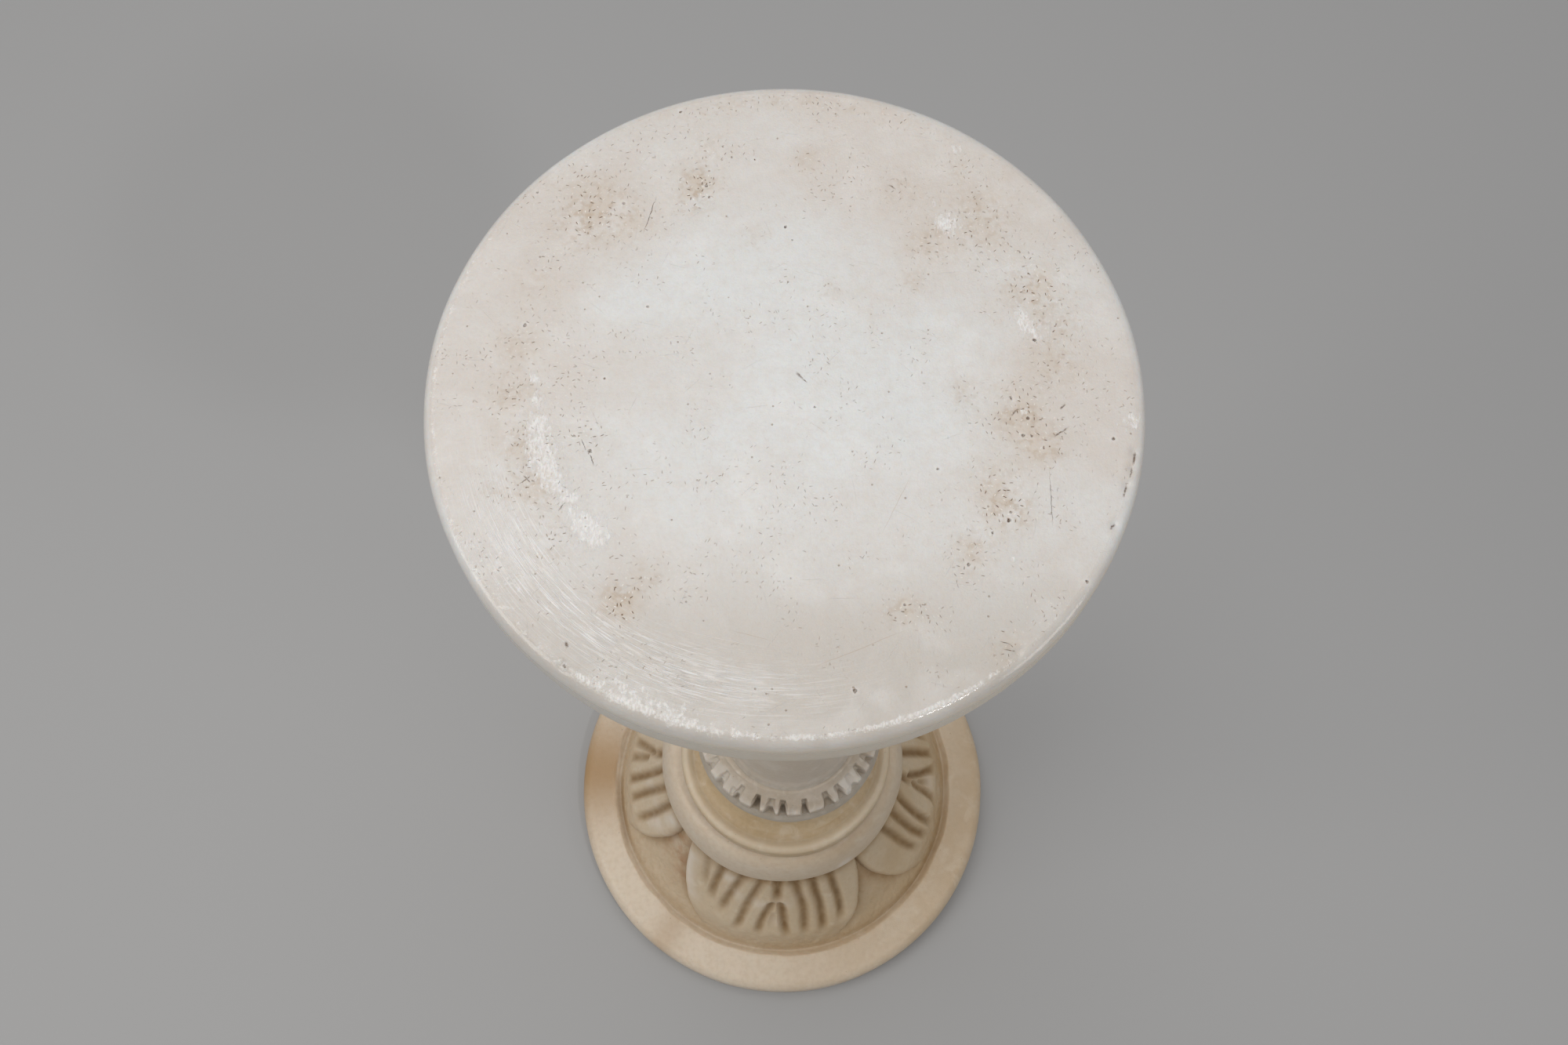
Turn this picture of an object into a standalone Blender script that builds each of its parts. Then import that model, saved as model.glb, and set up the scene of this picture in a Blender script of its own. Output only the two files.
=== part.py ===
"""Round alabaster pedestal: leaf-carved foot, scotia drum, notched collar, plain shaft and round top slab.

The stones stand on each other, with the floor at Z = 0 and the front towards -Y. The foot and the slab are
on the Z axis, and the three stones between them stand a few millimetres off it. Azimuths are counted from
the front, towards +X.
"""

import math

import bmesh
import bpy
from mathutils import Vector

# Sizes in metres, angles in degrees
JOINT = 0.0003  # open joint between two stones

# Foot
FOOT_RADIUS = 0.1775
FOOT_CHAMFER = 0.0040  # underside edge
RIM_HEIGHT = 0.0270  # inner border of the flat rim above the floor
RIM_FALL = 0.0025  # how much lower the rim is at its outer edge
RIM_WIDTH = 0.0300  # inner border of the rim to the foot's outline
RIM_ROUND = 0.0095  # rounded outer edge
RIM_STEP = 0.0075  # drop from the rim to the sunk ground between the leaves
RIM_STEP_RUN = 0.0045  # how far that drop leans inwards
BELL_RISE = 0.0940  # sunk ground beside the rim to the underside of the torus
BELL_HOLLOW = 0.0050  # sag of the sunk ground's line
TORUS_RADIUS = 0.0985
TORUS_OVERHANG = 0.0095  # torus beyond the neck of the bell
TORUS_SHOULDER = 0.0143  # torus beyond its own top edge
TORUS_LOWER = 0.0230  # underside to the widest line
TORUS_UPPER = 0.0380  # widest line to the top edge

# Leaves on the bell
LEAVES = 4
LEAF_AZIMUTH = -5.0
LEAF_HALF_ANGLE = 44.0
LEAF_EDGE_ANGLE = 4.5  # width of a leaf's rounded margin
LEAF_RISE = 0.0085  # leaf above the sunk ground
LEAF_CROWN = 0.0025  # extra rise along the leaf's middle
LEAF_END = 0.96  # share of the bell that a leaf covers
VEINS_A_SIDE = 4
VEIN_DEPTH = 0.0042
VEIN_START = 0.03  # share of the bell
VEIN_END = 0.84  # share of the bell
VEIN_TAPER = 0.12  # share of the bell over which a vein runs out
VEIN_SPREAD = -0.07  # how much wider the veins stand than even columns would
VEIN_FAN = 0.13  # how much more they spread from the torus to the rim
FORK_START = 0.36  # share of the bell where the middle vein forks
FORK_END = 0.57

# Scotia drum
DRUM_SHIFT = (0.0023, -0.0040)  # drum's axis off the Z axis
DRUM_HEIGHT = 0.0875
DRUM_INSET = 0.0037  # drum's foot inside the top edge of the torus
GROOVE_DEPTH = 0.0040
GROOVE_HEIGHT = 0.0050
LIP_HEIGHT = 0.0290  # drum's underside to the top of its lip
LIP_ROUND = 0.0045
LIP_PROUD = 0.0006  # lip beyond the drum's upright wall
SCOTIA_DEPTH = 0.0065  # throat of the scotia inside the drum's top edge
SCOTIA_FLARE = 0.0210  # height from the throat to the drum's top band
SCOTIA_DISH = 0.0020  # dish inside the lip, below the top of the lip
DRUM_TOP_BAND = 0.0035

# Notched collar
COLLAR_SHIFT = (0.0043, -0.0030)
TEETH = 28
COLLAR_TOP_RADIUS = 0.0520  # flat top that the shaft stands on
COLLAR_SHELF = 0.0047  # smooth band between that and the roots of the teeth
NOTCH_DEPTH = 0.0100
NOTCH_FLOOR = 0.28  # share of one pitch
NOTCH_WALL = 0.12  # share of one pitch
TOOTH_HEIGHT = 0.0110
TOOTH_LEDGE = 0.0020  # foot of the teeth above the bead
COLLAR_SLOPE = 0.0120  # rise of the collar's top from the teeth to its flat top
BEAD_HEIGHT = 0.0110
BEAD_PROUD = 0.0023  # bead beyond the teeth
COLLAR_UNDERCUT = 0.0057  # drum's top edge inside the teeth
COLLAR_INSET = 0.0050  # collar's underside inside the drum's top edge

# Shaft
SHAFT_SHIFT = (0.0052, -0.0055)
SHAFT_RADIUS = 0.0485
SHAFT_LENGTH = 0.5340
SHAFT_TAPER = 0.0070  # radius lost from the foot of the shaft to its neck
SHAFT_SWELL = 0.0010  # swelling at half height
APOPHYGE = 0.0040  # small flare at the foot of the shaft
APOPHYGE_HEIGHT = 0.0140
NECK_RING_HEIGHT = 0.0130
NECK_RING_PROUD = 0.0135
HEAD_HEIGHT = 0.0560  # neck ring to the slab
HEAD_FILLET = 0.0110
SLAB_OVERHANG = 0.0390  # flat underside of the slab beyond the shaft's head

# Top slab
SLAB_RADIUS = 0.1350
SLAB_THICKNESS = 0.0277
SLAB_ARRIS = 0.0050
SLAB_ARRIS_DROP = 0.0065
SLAB_UNDERCUT = 0.0080  # rounded lower edge

# Facets
BELL_COLUMNS = 120
BELL_ROWS = 11
VEIN_COLUMNS = 3  # columns of the bell from one vein to the next
SLAB_SIDES = 72
DRUM_SIDES = 48
SHAFT_SIDES = 36
SHAFT_ROWS = 4
BEND_STEPS = 3  # rows on a rounded edge
DISH_STEPS = 4
FLARE_STEPS = 2
FIRM_ROWS = 2  # rows over which the bell's columns start to swing
SHARP_ANGLE = 40.0
SAME_COLUMN = 0.1  # in columns
TINY = 1e-6

ON_AXIS = (0.0, 0.0)

# What follows from the sizes above
GROUND_Z = RIM_HEIGHT - RIM_STEP
GROUND_RADIUS = FOOT_RADIUS - RIM_WIDTH - RIM_STEP_RUN
BELL_TOP_Z = GROUND_Z + BELL_RISE
BELL_NECK_RADIUS = TORUS_RADIUS - TORUS_OVERHANG
TORUS_TOP_RADIUS = TORUS_RADIUS - TORUS_SHOULDER
FOOT_HEIGHT = BELL_TOP_Z + TORUS_LOWER + TORUS_UPPER
NOTCH_RADIUS = COLLAR_TOP_RADIUS + COLLAR_SHELF
COLLAR_RADIUS = NOTCH_RADIUS + NOTCH_DEPTH
COLLAR_HEIGHT = BEAD_HEIGHT + TOOTH_LEDGE + TOOTH_HEIGHT + COLLAR_SLOPE
DRUM_TOP_RADIUS = COLLAR_RADIUS - COLLAR_UNDERCUT
HEAD_RADIUS = SLAB_RADIUS - SLAB_UNDERCUT - SLAB_OVERHANG
DRUM_Z = FOOT_HEIGHT + JOINT
COLLAR_Z = DRUM_Z + DRUM_HEIGHT + JOINT
SHAFT_Z = COLLAR_Z + COLLAR_HEIGHT + JOINT
SLAB_Z = SHAFT_Z + SHAFT_LENGTH + JOINT


def clear_scene():
    for thing in list(bpy.data.objects):
        bpy.data.objects.remove(thing, do_unlink=True)


def alabaster(name, colour, roughness):
    """Polished alabaster: pale, faintly translucent stone."""
    material = bpy.data.materials.new(name)
    material.use_nodes = True
    shader = material.node_tree.nodes["Principled BSDF"]
    shader.inputs["Base Color"].default_value = (*colour, 1.0)
    shader.inputs["Roughness"].default_value = roughness
    shader.inputs["Metallic"].default_value = 0.0
    shader.inputs["IOR"].default_value = 1.52
    material.diffuse_color = (*colour, 1.0)
    return material


def arc(centre, radii, start, end, steps):
    """Points (radius, height) on an elliptical arc, from one angle to another, both included."""
    points = []
    for step in range(steps + 1):
        angle = math.radians(start + (end - start) * step / steps)
        points.append((centre[0] + radii[0] * math.cos(angle), centre[1] + radii[1] * math.sin(angle)))
    return points


def turned(profile, steps):
    """A closed body: the profile turned once round the Z axis, with flat ends at its first and last points."""
    bm = bmesh.new()
    verts = [bm.verts.new((radius, 0.0, height)) for radius, height in profile]
    edges = [bm.edges.new(pair) for pair in zip(verts, verts[1:])]
    bmesh.ops.spin(
        bm, geom=verts + edges, cent=(0, 0, 0), axis=(0, 0, 1), angle=math.tau, steps=steps, use_merge=True
    )
    bmesh.ops.remove_doubles(bm, verts=bm.verts, dist=TINY)
    bmesh.ops.holes_fill(bm, edges=[edge for edge in bm.edges if edge.is_boundary], sides=0)
    bmesh.ops.recalc_face_normals(bm, faces=bm.faces)
    return bm


def finished(name, bm, shift, z, material):
    """Makes the named object from the body, with its axis and its underside in their places."""
    mesh = bpy.data.meshes.new(name)
    bm.to_mesh(mesh)
    bm.free()
    mesh.shade_smooth()
    mesh.set_sharp_from_angle(angle=math.radians(SHARP_ANGLE))
    mesh.materials.append(material)
    stone = bpy.data.objects.new(name, mesh)
    stone.location = (*shift, z)
    bpy.context.scene.collection.objects.link(stone)
    return stone


def azimuth_of(co):
    return math.degrees(math.atan2(co.x, -co.y))


def smooth(share):
    share = min(max(share, 0.0), 1.0)
    return share * share * (3.0 - 2.0 * share)


def bell_ground(share):
    """Point (radius, height) on the sunk ground, from the torus (0) to the rim (1)."""
    run = GROUND_RADIUS - BELL_NECK_RADIUS
    length = math.hypot(run, BELL_RISE)
    sag = BELL_HOLLOW * math.sin(math.pi * share)
    radius = BELL_NECK_RADIUS + run * share - sag * BELL_RISE / length
    height = BELL_TOP_Z - BELL_RISE * share - sag * run / length
    return radius, height


def groove(distance, half_width):
    """Depth share of a carved groove: 1 on its line, 0 from its half width on."""
    return max(0.0, 1.0 - distance / half_width)


def leaf_relief(angle, share):
    """Height of the carving above the sunk ground, at an angle from a leaf's middle and a share down the bell."""
    reach = min(share / LEAF_END, 1.0)
    half = LEAF_HALF_ANGLE * math.sqrt(1.0 - reach * reach)
    body = smooth((half - abs(angle)) / LEAF_EDGE_ANGLE)
    crown = LEAF_CROWN * max(0.0, 1.0 - (angle / LEAF_HALF_ANGLE) ** 2) * math.sin(math.pi * reach)
    column = 360.0 / BELL_COLUMNS
    spacing = column * VEIN_COLUMNS
    nearest = round(angle / spacing)
    cut = 0.0
    if nearest == 0:
        fork = column * smooth((share - FORK_START) / (FORK_END - FORK_START))
        cut = groove(abs(abs(angle) - fork), column)
    elif abs(nearest) <= VEINS_A_SIDE:
        cut = groove(abs(angle - nearest * spacing), column)
    end = VEIN_END * math.sqrt(max(0.0, 1.0 - (angle / LEAF_HALF_ANGLE) ** 2))
    cut *= smooth((share - VEIN_START) / VEIN_START + 0.5) * smooth((end - share) / VEIN_TAPER)
    return body * (LEAF_RISE + crown - VEIN_DEPTH * cut)


def bell_row(vert):
    """Row of the bell that a vertex belongs to, 0 under the torus, or None off the bell."""
    if vert.co.xy.length > GROUND_RADIUS + TINY or not GROUND_Z - TINY < vert.co.z < BELL_TOP_Z + TINY:
        return None
    return min(range(BELL_ROWS + 1), key=lambda row: abs(bell_ground(row / BELL_ROWS)[1] - vert.co.z))


def carve_leaves(bm):
    """Raises the leaves from the bell. The bell's columns swing outwards so that each vein runs down one column."""
    step = 360.0 / LEAVES
    for vert in bm.verts:
        row = bell_row(vert)
        if row is None:
            continue
        share = row / BELL_ROWS
        azimuth = azimuth_of(vert.co)
        angle = (azimuth - LEAF_AZIMUTH + step / 2) % step - step / 2
        above, below = bell_ground(share - 1 / BELL_ROWS), bell_ground(share + 1 / BELL_ROWS)
        down = Vector((below[0] - above[0], below[1] - above[1])).normalized()
        height = leaf_relief(angle, share)
        radius = vert.co.xy.length - down.y * height
        swing = (VEIN_SPREAD + VEIN_FAN * share) * angle * (1.0 - (2.0 * angle / step) ** 2)
        turn = math.radians(azimuth + swing * min(row, FIRM_ROWS) / FIRM_ROWS)
        vert.co = (radius * math.sin(turn), -radius * math.cos(turn), vert.co.z + down.x * height)


def thin_columns(bm, columns, keep):
    """Takes out every second column of a turned body, apart from the edges that the test keeps."""
    extra = []
    for edge in bm.edges:
        first, second = (azimuth_of(vert.co) * columns / 360.0 for vert in edge.verts)
        if abs(first - second) < SAME_COLUMN and round(first) % 2 and not keep(edge):
            extra.append(edge)
    bmesh.ops.dissolve_edges(bm, edges=extra, use_verts=True)


def leaf_foot(material):
    """Foot of one stone: flat rim, bell carved with drooping leaves, and the torus above them."""
    rim_edge_z = RIM_HEIGHT - RIM_FALL
    torus_z = BELL_TOP_Z + TORUS_LOWER
    profile = arc((TORUS_TOP_RADIUS, torus_z), (TORUS_SHOULDER, TORUS_UPPER), 90, 0, BEND_STEPS)
    profile += arc((BELL_NECK_RADIUS, torus_z), (TORUS_OVERHANG, TORUS_LOWER), 0, -90, BEND_STEPS)[1:-1]
    profile += [bell_ground(row / BELL_ROWS) for row in range(BELL_ROWS + 1)]
    profile += [(FOOT_RADIUS - RIM_WIDTH, RIM_HEIGHT)]
    profile += arc((FOOT_RADIUS - RIM_ROUND, rim_edge_z - RIM_ROUND), (RIM_ROUND, RIM_ROUND), 90, 0, BEND_STEPS)
    profile += [(FOOT_RADIUS, FOOT_CHAMFER), (FOOT_RADIUS - FOOT_CHAMFER, 0.0)]
    bm = turned(profile, BELL_COLUMNS)
    thin_columns(bm, BELL_COLUMNS, lambda edge: None not in [bell_row(vert) for vert in edge.verts])
    carve_leaves(bm)
    return finished("leaf_foot", bm, ON_AXIS, 0.0, material)


def scotia_drum(material):
    """Turned drum: groove over the torus, rounded lip, dish and scotia under the collar."""
    foot = TORUS_TOP_RADIUS - DRUM_INSET
    wall = foot + LIP_PROUD
    lip_radius = wall + LIP_PROUD
    throat = DRUM_TOP_RADIUS - SCOTIA_DEPTH
    throat_z = DRUM_HEIGHT - DRUM_TOP_BAND - SCOTIA_FLARE
    dish_radius = lip_radius - 2.0 * LIP_ROUND
    dish_z = LIP_HEIGHT - SCOTIA_DISH
    profile = [(DRUM_TOP_RADIUS, DRUM_HEIGHT)]
    profile += arc((DRUM_TOP_RADIUS, throat_z), (SCOTIA_DEPTH, SCOTIA_FLARE), 90, 180, FLARE_STEPS)
    profile += arc((dish_radius, throat_z), (dish_radius - throat, throat_z - dish_z), 180, 270, DISH_STEPS)[1:]
    profile += arc((lip_radius - LIP_ROUND, LIP_HEIGHT - LIP_ROUND), (LIP_ROUND, LIP_ROUND), 120, 0, BEND_STEPS)
    profile += [(wall, GROOVE_HEIGHT), (foot - GROOVE_DEPTH, GROOVE_HEIGHT / 2), (foot - GROOVE_DEPTH, 0.0)]
    return finished("scotia_drum", turned(profile, DRUM_SIDES), DRUM_SHIFT, DRUM_Z, material)


def cut_notches(bm):
    """Sets the collar's columns in fours, two to a tooth and two to a notch, and sinks the notch ones."""
    pitch = 360.0 / TEETH
    tooth = 1.0 - NOTCH_FLOOR - 2.0 * NOTCH_WALL
    starts = (0.0, tooth, tooth + NOTCH_WALL, 1.0 - NOTCH_WALL)
    for vert in bm.verts:
        column = round(azimuth_of(vert.co) * 4 * TEETH / 360.0) % (4 * TEETH)
        turn = math.radians((column // 4 + starts[column % 4]) * pitch)
        radius = vert.co.xy.length
        if column % 4 > 1 and vert.co.z > BEAD_HEIGHT + TINY and radius > COLLAR_RADIUS - TINY:
            radius -= NOTCH_DEPTH
        vert.co = (radius * math.sin(turn), -radius * math.cos(turn), vert.co.z)


def notched_collar(material):
    """Ring under the shaft: sloping top, upright teeth round its edge, and a smooth bead below them."""
    ledge_z = BEAD_HEIGHT + TOOTH_LEDGE
    teeth_z = ledge_z + TOOTH_HEIGHT
    root_z = teeth_z + COLLAR_SLOPE * NOTCH_DEPTH / (NOTCH_DEPTH + COLLAR_SHELF)
    bead = BEAD_HEIGHT / 2
    profile = [(COLLAR_TOP_RADIUS, COLLAR_HEIGHT), (NOTCH_RADIUS, root_z)]
    profile += [(COLLAR_RADIUS, teeth_z), (COLLAR_RADIUS, ledge_z)]
    profile += arc((COLLAR_RADIUS + BEAD_PROUD - bead, bead), (bead, bead), 90, -90, BEND_STEPS)
    profile += [(DRUM_TOP_RADIUS - COLLAR_INSET, 0.0)]
    bm = turned(profile, 4 * TEETH)
    thin_columns(bm, 4 * TEETH, lambda edge: max(vert.co.z for vert in edge.verts) > BEAD_HEIGHT + TINY)
    cut_notches(bm)
    return finished("notched_collar", bm, COLLAR_SHIFT, COLLAR_Z, material)


def shaft(material):
    """Plain round shaft with a slight taper and swelling, a neck ring and a flared head under the slab."""
    body = SHAFT_RADIUS - APOPHYGE
    neck = body - SHAFT_TAPER
    neck_z = SHAFT_LENGTH - HEAD_HEIGHT - NECK_RING_HEIGHT
    ring = NECK_RING_HEIGHT / 2
    head_z = SHAFT_LENGTH - HEAD_FILLET
    hollow = (HEAD_RADIUS - neck, HEAD_HEIGHT - HEAD_FILLET)
    profile = [(HEAD_RADIUS, SHAFT_LENGTH), (HEAD_RADIUS, head_z)]
    profile += arc((HEAD_RADIUS, neck_z + NECK_RING_HEIGHT), hollow, 100, 180, BEND_STEPS)
    profile += arc((neck + NECK_RING_PROUD - ring, neck_z + ring), (ring, ring), 90, -90, BEND_STEPS)
    for row in range(SHAFT_ROWS + 1):
        share = row / SHAFT_ROWS
        swell = SHAFT_SWELL * math.sin(math.pi * share)
        profile.append((neck + SHAFT_TAPER * share + swell, neck_z + (APOPHYGE_HEIGHT - neck_z) * share))
    profile += arc((SHAFT_RADIUS, APOPHYGE_HEIGHT), (APOPHYGE, APOPHYGE_HEIGHT), 180, 270, BEND_STEPS)[1:]
    return finished("shaft", turned(profile, SHAFT_SIDES), SHAFT_SHIFT, SHAFT_Z, material)


def top_slab(material):
    """Round slab with a soft arris, an upright wall and a rounded lower edge."""
    arris_z = SLAB_THICKNESS - SLAB_ARRIS_DROP
    profile = arc((SLAB_RADIUS - SLAB_ARRIS, arris_z), (SLAB_ARRIS, SLAB_ARRIS_DROP), 90, 0, BEND_STEPS)
    profile += arc((SLAB_RADIUS - SLAB_UNDERCUT, SLAB_UNDERCUT), (SLAB_UNDERCUT, SLAB_UNDERCUT), 0, -90, BEND_STEPS)
    return finished("top_slab", turned(profile, SLAB_SIDES), ON_AXIS, SLAB_Z, material)


clear_scene()
leaf_foot(alabaster("tan_alabaster", (0.56, 0.42, 0.26), 0.5))
scotia_drum(alabaster("golden_alabaster", (0.55, 0.42, 0.25), 0.45))
notched_collar(alabaster("pink_grey_alabaster", (0.50, 0.43, 0.37), 0.45))
shaft(alabaster("grey_alabaster", (0.42, 0.38, 0.33), 0.35))
top_slab(alabaster("white_alabaster", (0.76, 0.71, 0.66), 0.35))
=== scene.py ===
"""Looks of the round alabaster pedestal: five turned and carved stones, their finishes, light and camera.

Each stone is turned as a fine mesh and carved by moving its points. Sizes are in millimetres unless a
comment says otherwise, heights are above the floor, and azimuths are degrees from the front, which is
towards -Y, round to +X.
"""

import math

import bpy
import numpy as np
from mathutils import Matrix, Vector


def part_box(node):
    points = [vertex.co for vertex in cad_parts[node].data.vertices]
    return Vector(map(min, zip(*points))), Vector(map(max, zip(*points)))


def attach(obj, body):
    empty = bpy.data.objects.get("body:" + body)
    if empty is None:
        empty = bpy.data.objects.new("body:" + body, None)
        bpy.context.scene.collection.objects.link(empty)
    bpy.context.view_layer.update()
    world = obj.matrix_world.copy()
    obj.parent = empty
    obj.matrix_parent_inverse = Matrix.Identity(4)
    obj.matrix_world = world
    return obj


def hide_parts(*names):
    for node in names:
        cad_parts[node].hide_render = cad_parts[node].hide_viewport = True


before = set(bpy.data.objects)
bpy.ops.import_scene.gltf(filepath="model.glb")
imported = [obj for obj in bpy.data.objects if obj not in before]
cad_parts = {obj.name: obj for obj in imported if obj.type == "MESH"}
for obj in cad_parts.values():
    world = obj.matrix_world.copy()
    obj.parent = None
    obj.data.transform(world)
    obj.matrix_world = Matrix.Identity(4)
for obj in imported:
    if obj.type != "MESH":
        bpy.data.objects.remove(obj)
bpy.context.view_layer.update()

MM = 0.001
TINY = 1e-6
SLACK = 0.1  # by which a point may miss the surface that it is on
FAR = 1000.0  # more than any distance on the slab


def turned_size(node):
    """Radius, underside and top of a turned node of the frame."""
    low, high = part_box(node)
    return (high.x - low.x) / 2 / MM, low.z / MM, high.z / MM


FOOT_RADIUS, FOOT_BASE, FOOT_TOP = turned_size("leaf_foot")
LIP_RADIUS, DRUM_BASE, DRUM_TOP = turned_size("scotia_drum")
BEAD_RADIUS, COLLAR_BASE, COLLAR_TOP = turned_size("notched_collar")
HEAD_RADIUS, SHAFT_BASE, SHAFT_TOP = turned_size("shaft")
SLAB_RADIUS, SLAB_BASE, SLAB_TOP = turned_size("top_slab")

# Foot
FOOT_COLUMNS = 756
FOOT_CHAMFER = 4.0
RIM_HEIGHT = 27.0
RIM_FALL = 2.5
RIM_WIDTH = 30.0
RIM_ROUND = 9.5
RIM_STEP = 7.5
RIM_STEP_RUN = 4.5
RIM_INNER = FOOT_RADIUS - RIM_WIDTH
RIM_LEAN = 1.5
RIM_CHIP = 1.4
BORDER_WANDER = 0.5
STEP_ROWS = 9
GROUND_RAMP = 3.2
RAMP_START = 0.78  # share of the bell
GROUND_RADIUS = RIM_INNER - RIM_STEP_RUN
GROUND_HEIGHT = RIM_HEIGHT - RIM_STEP
BELL_RISE = 94.0
BELL_HOLLOW = 5.0
BELL_ROWS = 77
BELL_TOP = GROUND_HEIGHT + BELL_RISE
TORUS_RADIUS = 98.5
TORUS_OVERHANG = 9.5
TORUS_SHOULDER = 14.3
TORUS_LOWER = 23.0
NECK_RADIUS = TORUS_RADIUS - TORUS_OVERHANG
TORUS_MIDDLE = BELL_TOP + TORUS_LOWER
BELL_RUN = GROUND_RADIUS - NECK_RADIUS
BELL_LENGTH = math.hypot(BELL_RUN, BELL_RISE)

# Leaves
LEAF_END = 1.12  # share of the bell
LEAF_RISE = 8.5
LEAF_CROWN = 2.5
LEAF_MARGIN = 4.0  # degrees
LEAF_DIP = 0.34  # share of the bell over which the tip sinks to the ground
CREASE_DEPTH = 0.8
CREASE_WIDTH = 3.5  # degrees
VEIN_DEPTH = 5.2
VEIN_WANDER = 0.35  # degrees
VEIN_START_FADE = 0.08  # share of the bell
VEIN_END_FADE = 0.2  # share of the bell
VEIN_HALF_WIDTHS = (3.9, 2.5)  # degrees, under the torus and at the rim
# Veins: angle from the trunk at the root, middle and tip, share of the bell at both ends, strength
FRONT_VEINS = (
    (-35.5, -34, -31, 0, 0.5, 0.6), (-26, -28.5, -27, 0, 0.6, 0.9), (-15.5, -20.5, -23, 0, 0.68, 0.85),
    (-6.5, -12.5, -16, 0, 0.84, 0.85), (0, 0, 0, 0, 0.4, 1), (-1, -5.5, -7.5, 0.28, 0.84, 0.9),
    (-1, -2, -2.5, 0.4, 0.72, 0.45), (0.5, 3, 3.5, 0.28, 0.84, 1), (7.5, 10.8, 10, 0, 0.82, 0.9),
    (16, 17.8, 16.5, 0, 0.84, 0.95), (25, 26.2, 23.5, 0, 0.76, 0.95),
)
RIGHT_VEINS = (
    (-27.5, -25.5, -22, 0, 0.8, 0.9), (-17.5, -18.5, -16, 0, 0.88, 0.95),
    (-8.5, -12, -11.5, 0, 0.9, 0.95), (0, 0, 1, 0, 0.42, 1), (0, -2, -5, 0.28, 0.9, 0.9),
    (1, 2, 3, 0.38, 0.72, 0.7), (1.5, 5.5, 9.5, 0.2, 0.86, 1), (9.5, 13.3, 14, 0, 0.86, 1),
    (20, 22, 20, 0, 0.8, 0.9), (29, 29, 26, 0, 0.6, 0.7),
)
LEFT_VEINS = (
    (26, 23.5, 20.5, 0, 0.8, 0.9), (17, 14.5, 12, 0, 0.86, 0.9), (7.5, 7, 5, 0, 0.92, 0.95),
    (0, -1, -3, 0, 0.42, 1), (-1.5, -6, -10, 0.26, 0.84, 0.9), (-1, -1.5, -3, 0.36, 0.92, 0.8),
    (-9, -13, -16.5, 0, 0.86, 0.9), (-19, -22, -22, 0, 0.8, 0.9), (-29, -30, -28, 0, 0.6, 0.7),
)
BACK_VEINS = tuple((-root, -middle, -tip, *rest) for root, middle, tip, *rest in FRONT_VEINS)
# Azimuth of a leaf's trunk, half widths to its left and right under the torus, and its veins
LEAVES = (
    (-2, 48, 41, FRONT_VEINS),
    (85.5, 47, 43, RIGHT_VEINS),
    (174, 45, 45, BACK_VEINS),
    (-95.5, 44, 38, LEFT_VEINS),
)
# Worn paler places on the foot, among them a painted highlight on the torus (30 and 31 degrees) and painted
# light on the front leaf's left margin (-46 to -38 degrees), and reddish ones on its ground: azimuth, share
# down the bell, strength
RUBBED_AND_HIGHLIT = (
    (-63, 0.12, 1), (-65, 0.22, 0.6), (-25, 0.12, 0.8), (0.5, 0.33, 0.5), (-10, 0.35, 0.5),
    (-20, 0.3, 0.5), (-2, 0.55, 0.35), (8, 0.25, 0.35), (88, 0.62, 0.4), (30, -0.18, 1),
    (-7, -0.1, 0.5), (-76, 0.3, 0.35), (-46, 0.2, 0.9), (-46, 0.3, 1), (-44, 0.4, 1), (-42, 0.5, 0.9),
    (-38, 0.6, 0.6), (-58, 0.4, 0.4), (31, -0.22, 0.8), (-67, 0.38, 0.8), (-70, 0.48, 0.6),
    (-84, 0.36, 0.5),
)
REDDENED = (
    (-48, 0.45, 1), (-44, 0.62, 0.8), (-55, 0.3, 0.9), (-57, 0.5, 0.6), (52, 0.7, 0.4), (42, 0.45, 0.5),
)

# Drum
DRUM_COLUMNS = 420
GROOVE_DEPTH = 4.0
GROOVE_HEIGHT = 5.0
LIP_HEIGHT = 29.0
LIP_ROUND = 4.5
LIP_PROUD = 0.6
SCOTIA_DEPTH = 6.5
SCOTIA_FLARE = 21.0
SCOTIA_DISH = 2.0
DRUM_TOP_BAND = 3.5
DRUM_TOP_RADIUS = 61.0

# Collar
COLLAR_COLUMNS = 1008
BEAD_HEIGHT = 11.0
BEAD_PROUD = 2.3
TOOTH_LEDGE = 2.0
TOOTH_HEIGHT = 11.0
TOOTH_WEAR = 1.1
COLLAR_INSET = 5.0
COLLAR_TOP_RADIUS = 52.0
COLLAR_SHELF = 4.7
NOTCH_DEPTH = 10.0
NOTCH_HALF_WIDTH = 2.6  # degrees
NOTCHES = 28
# Notches that the photograph shows: azimuth, share of the full depth
NOTCHES_IN_FRONT = (
    (-62, 0.25), (-49, 0.35), (-35, 0.45), (-21.5, 1), (-12, 0.5), (-3.5, 0.8), (11, 0.75), (27, 0.65),
    (37, 0.7), (47, 0.3), (56, 0.65), (66, 0.55),
)

# Shaft
SHAFT_COLUMNS = 240
SHAFT_ROWS = 90
SHAFT_FOOT_RADIUS = 48.5
SHAFT_TAPER = 7.0
SHAFT_SWELL = 1.0
APOPHYGE = 4.0
APOPHYGE_HEIGHT = 14.0
NECK_RING_HEIGHT = 13.0
NECK_RING_PROUD = 13.5
HEAD_HEIGHT = 56.0
HEAD_FILLET = 11.0

# Slab
SLAB_COLUMNS = 720
SLAB_ARRIS = 5.0
SLAB_ARRIS_DROP = 6.5
SLAB_UNDERCUT = 8.0
CHIP_DEPTH = 0.9
EDGE_CHIPS_FROM = 125.0  # distance from the axis at which dark marks are chips in the arris
# Frosty wear along the arris, and a painted highlight on its line at the front right (the row at 22
# degrees): azimuth, spread, place outside the arris line, width, strength
FROST_AND_GLINT = (
    (-56, 12, -7, 7, 0.55), (-22, 13, -3, 5.5, 0.75), (-8, 45, 0.5, 1.6, 0.6),
    (-100, 40, 0.5, 1.6, 0.6), (22, 17, 0.6, 0.9, 0.9),
)

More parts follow.
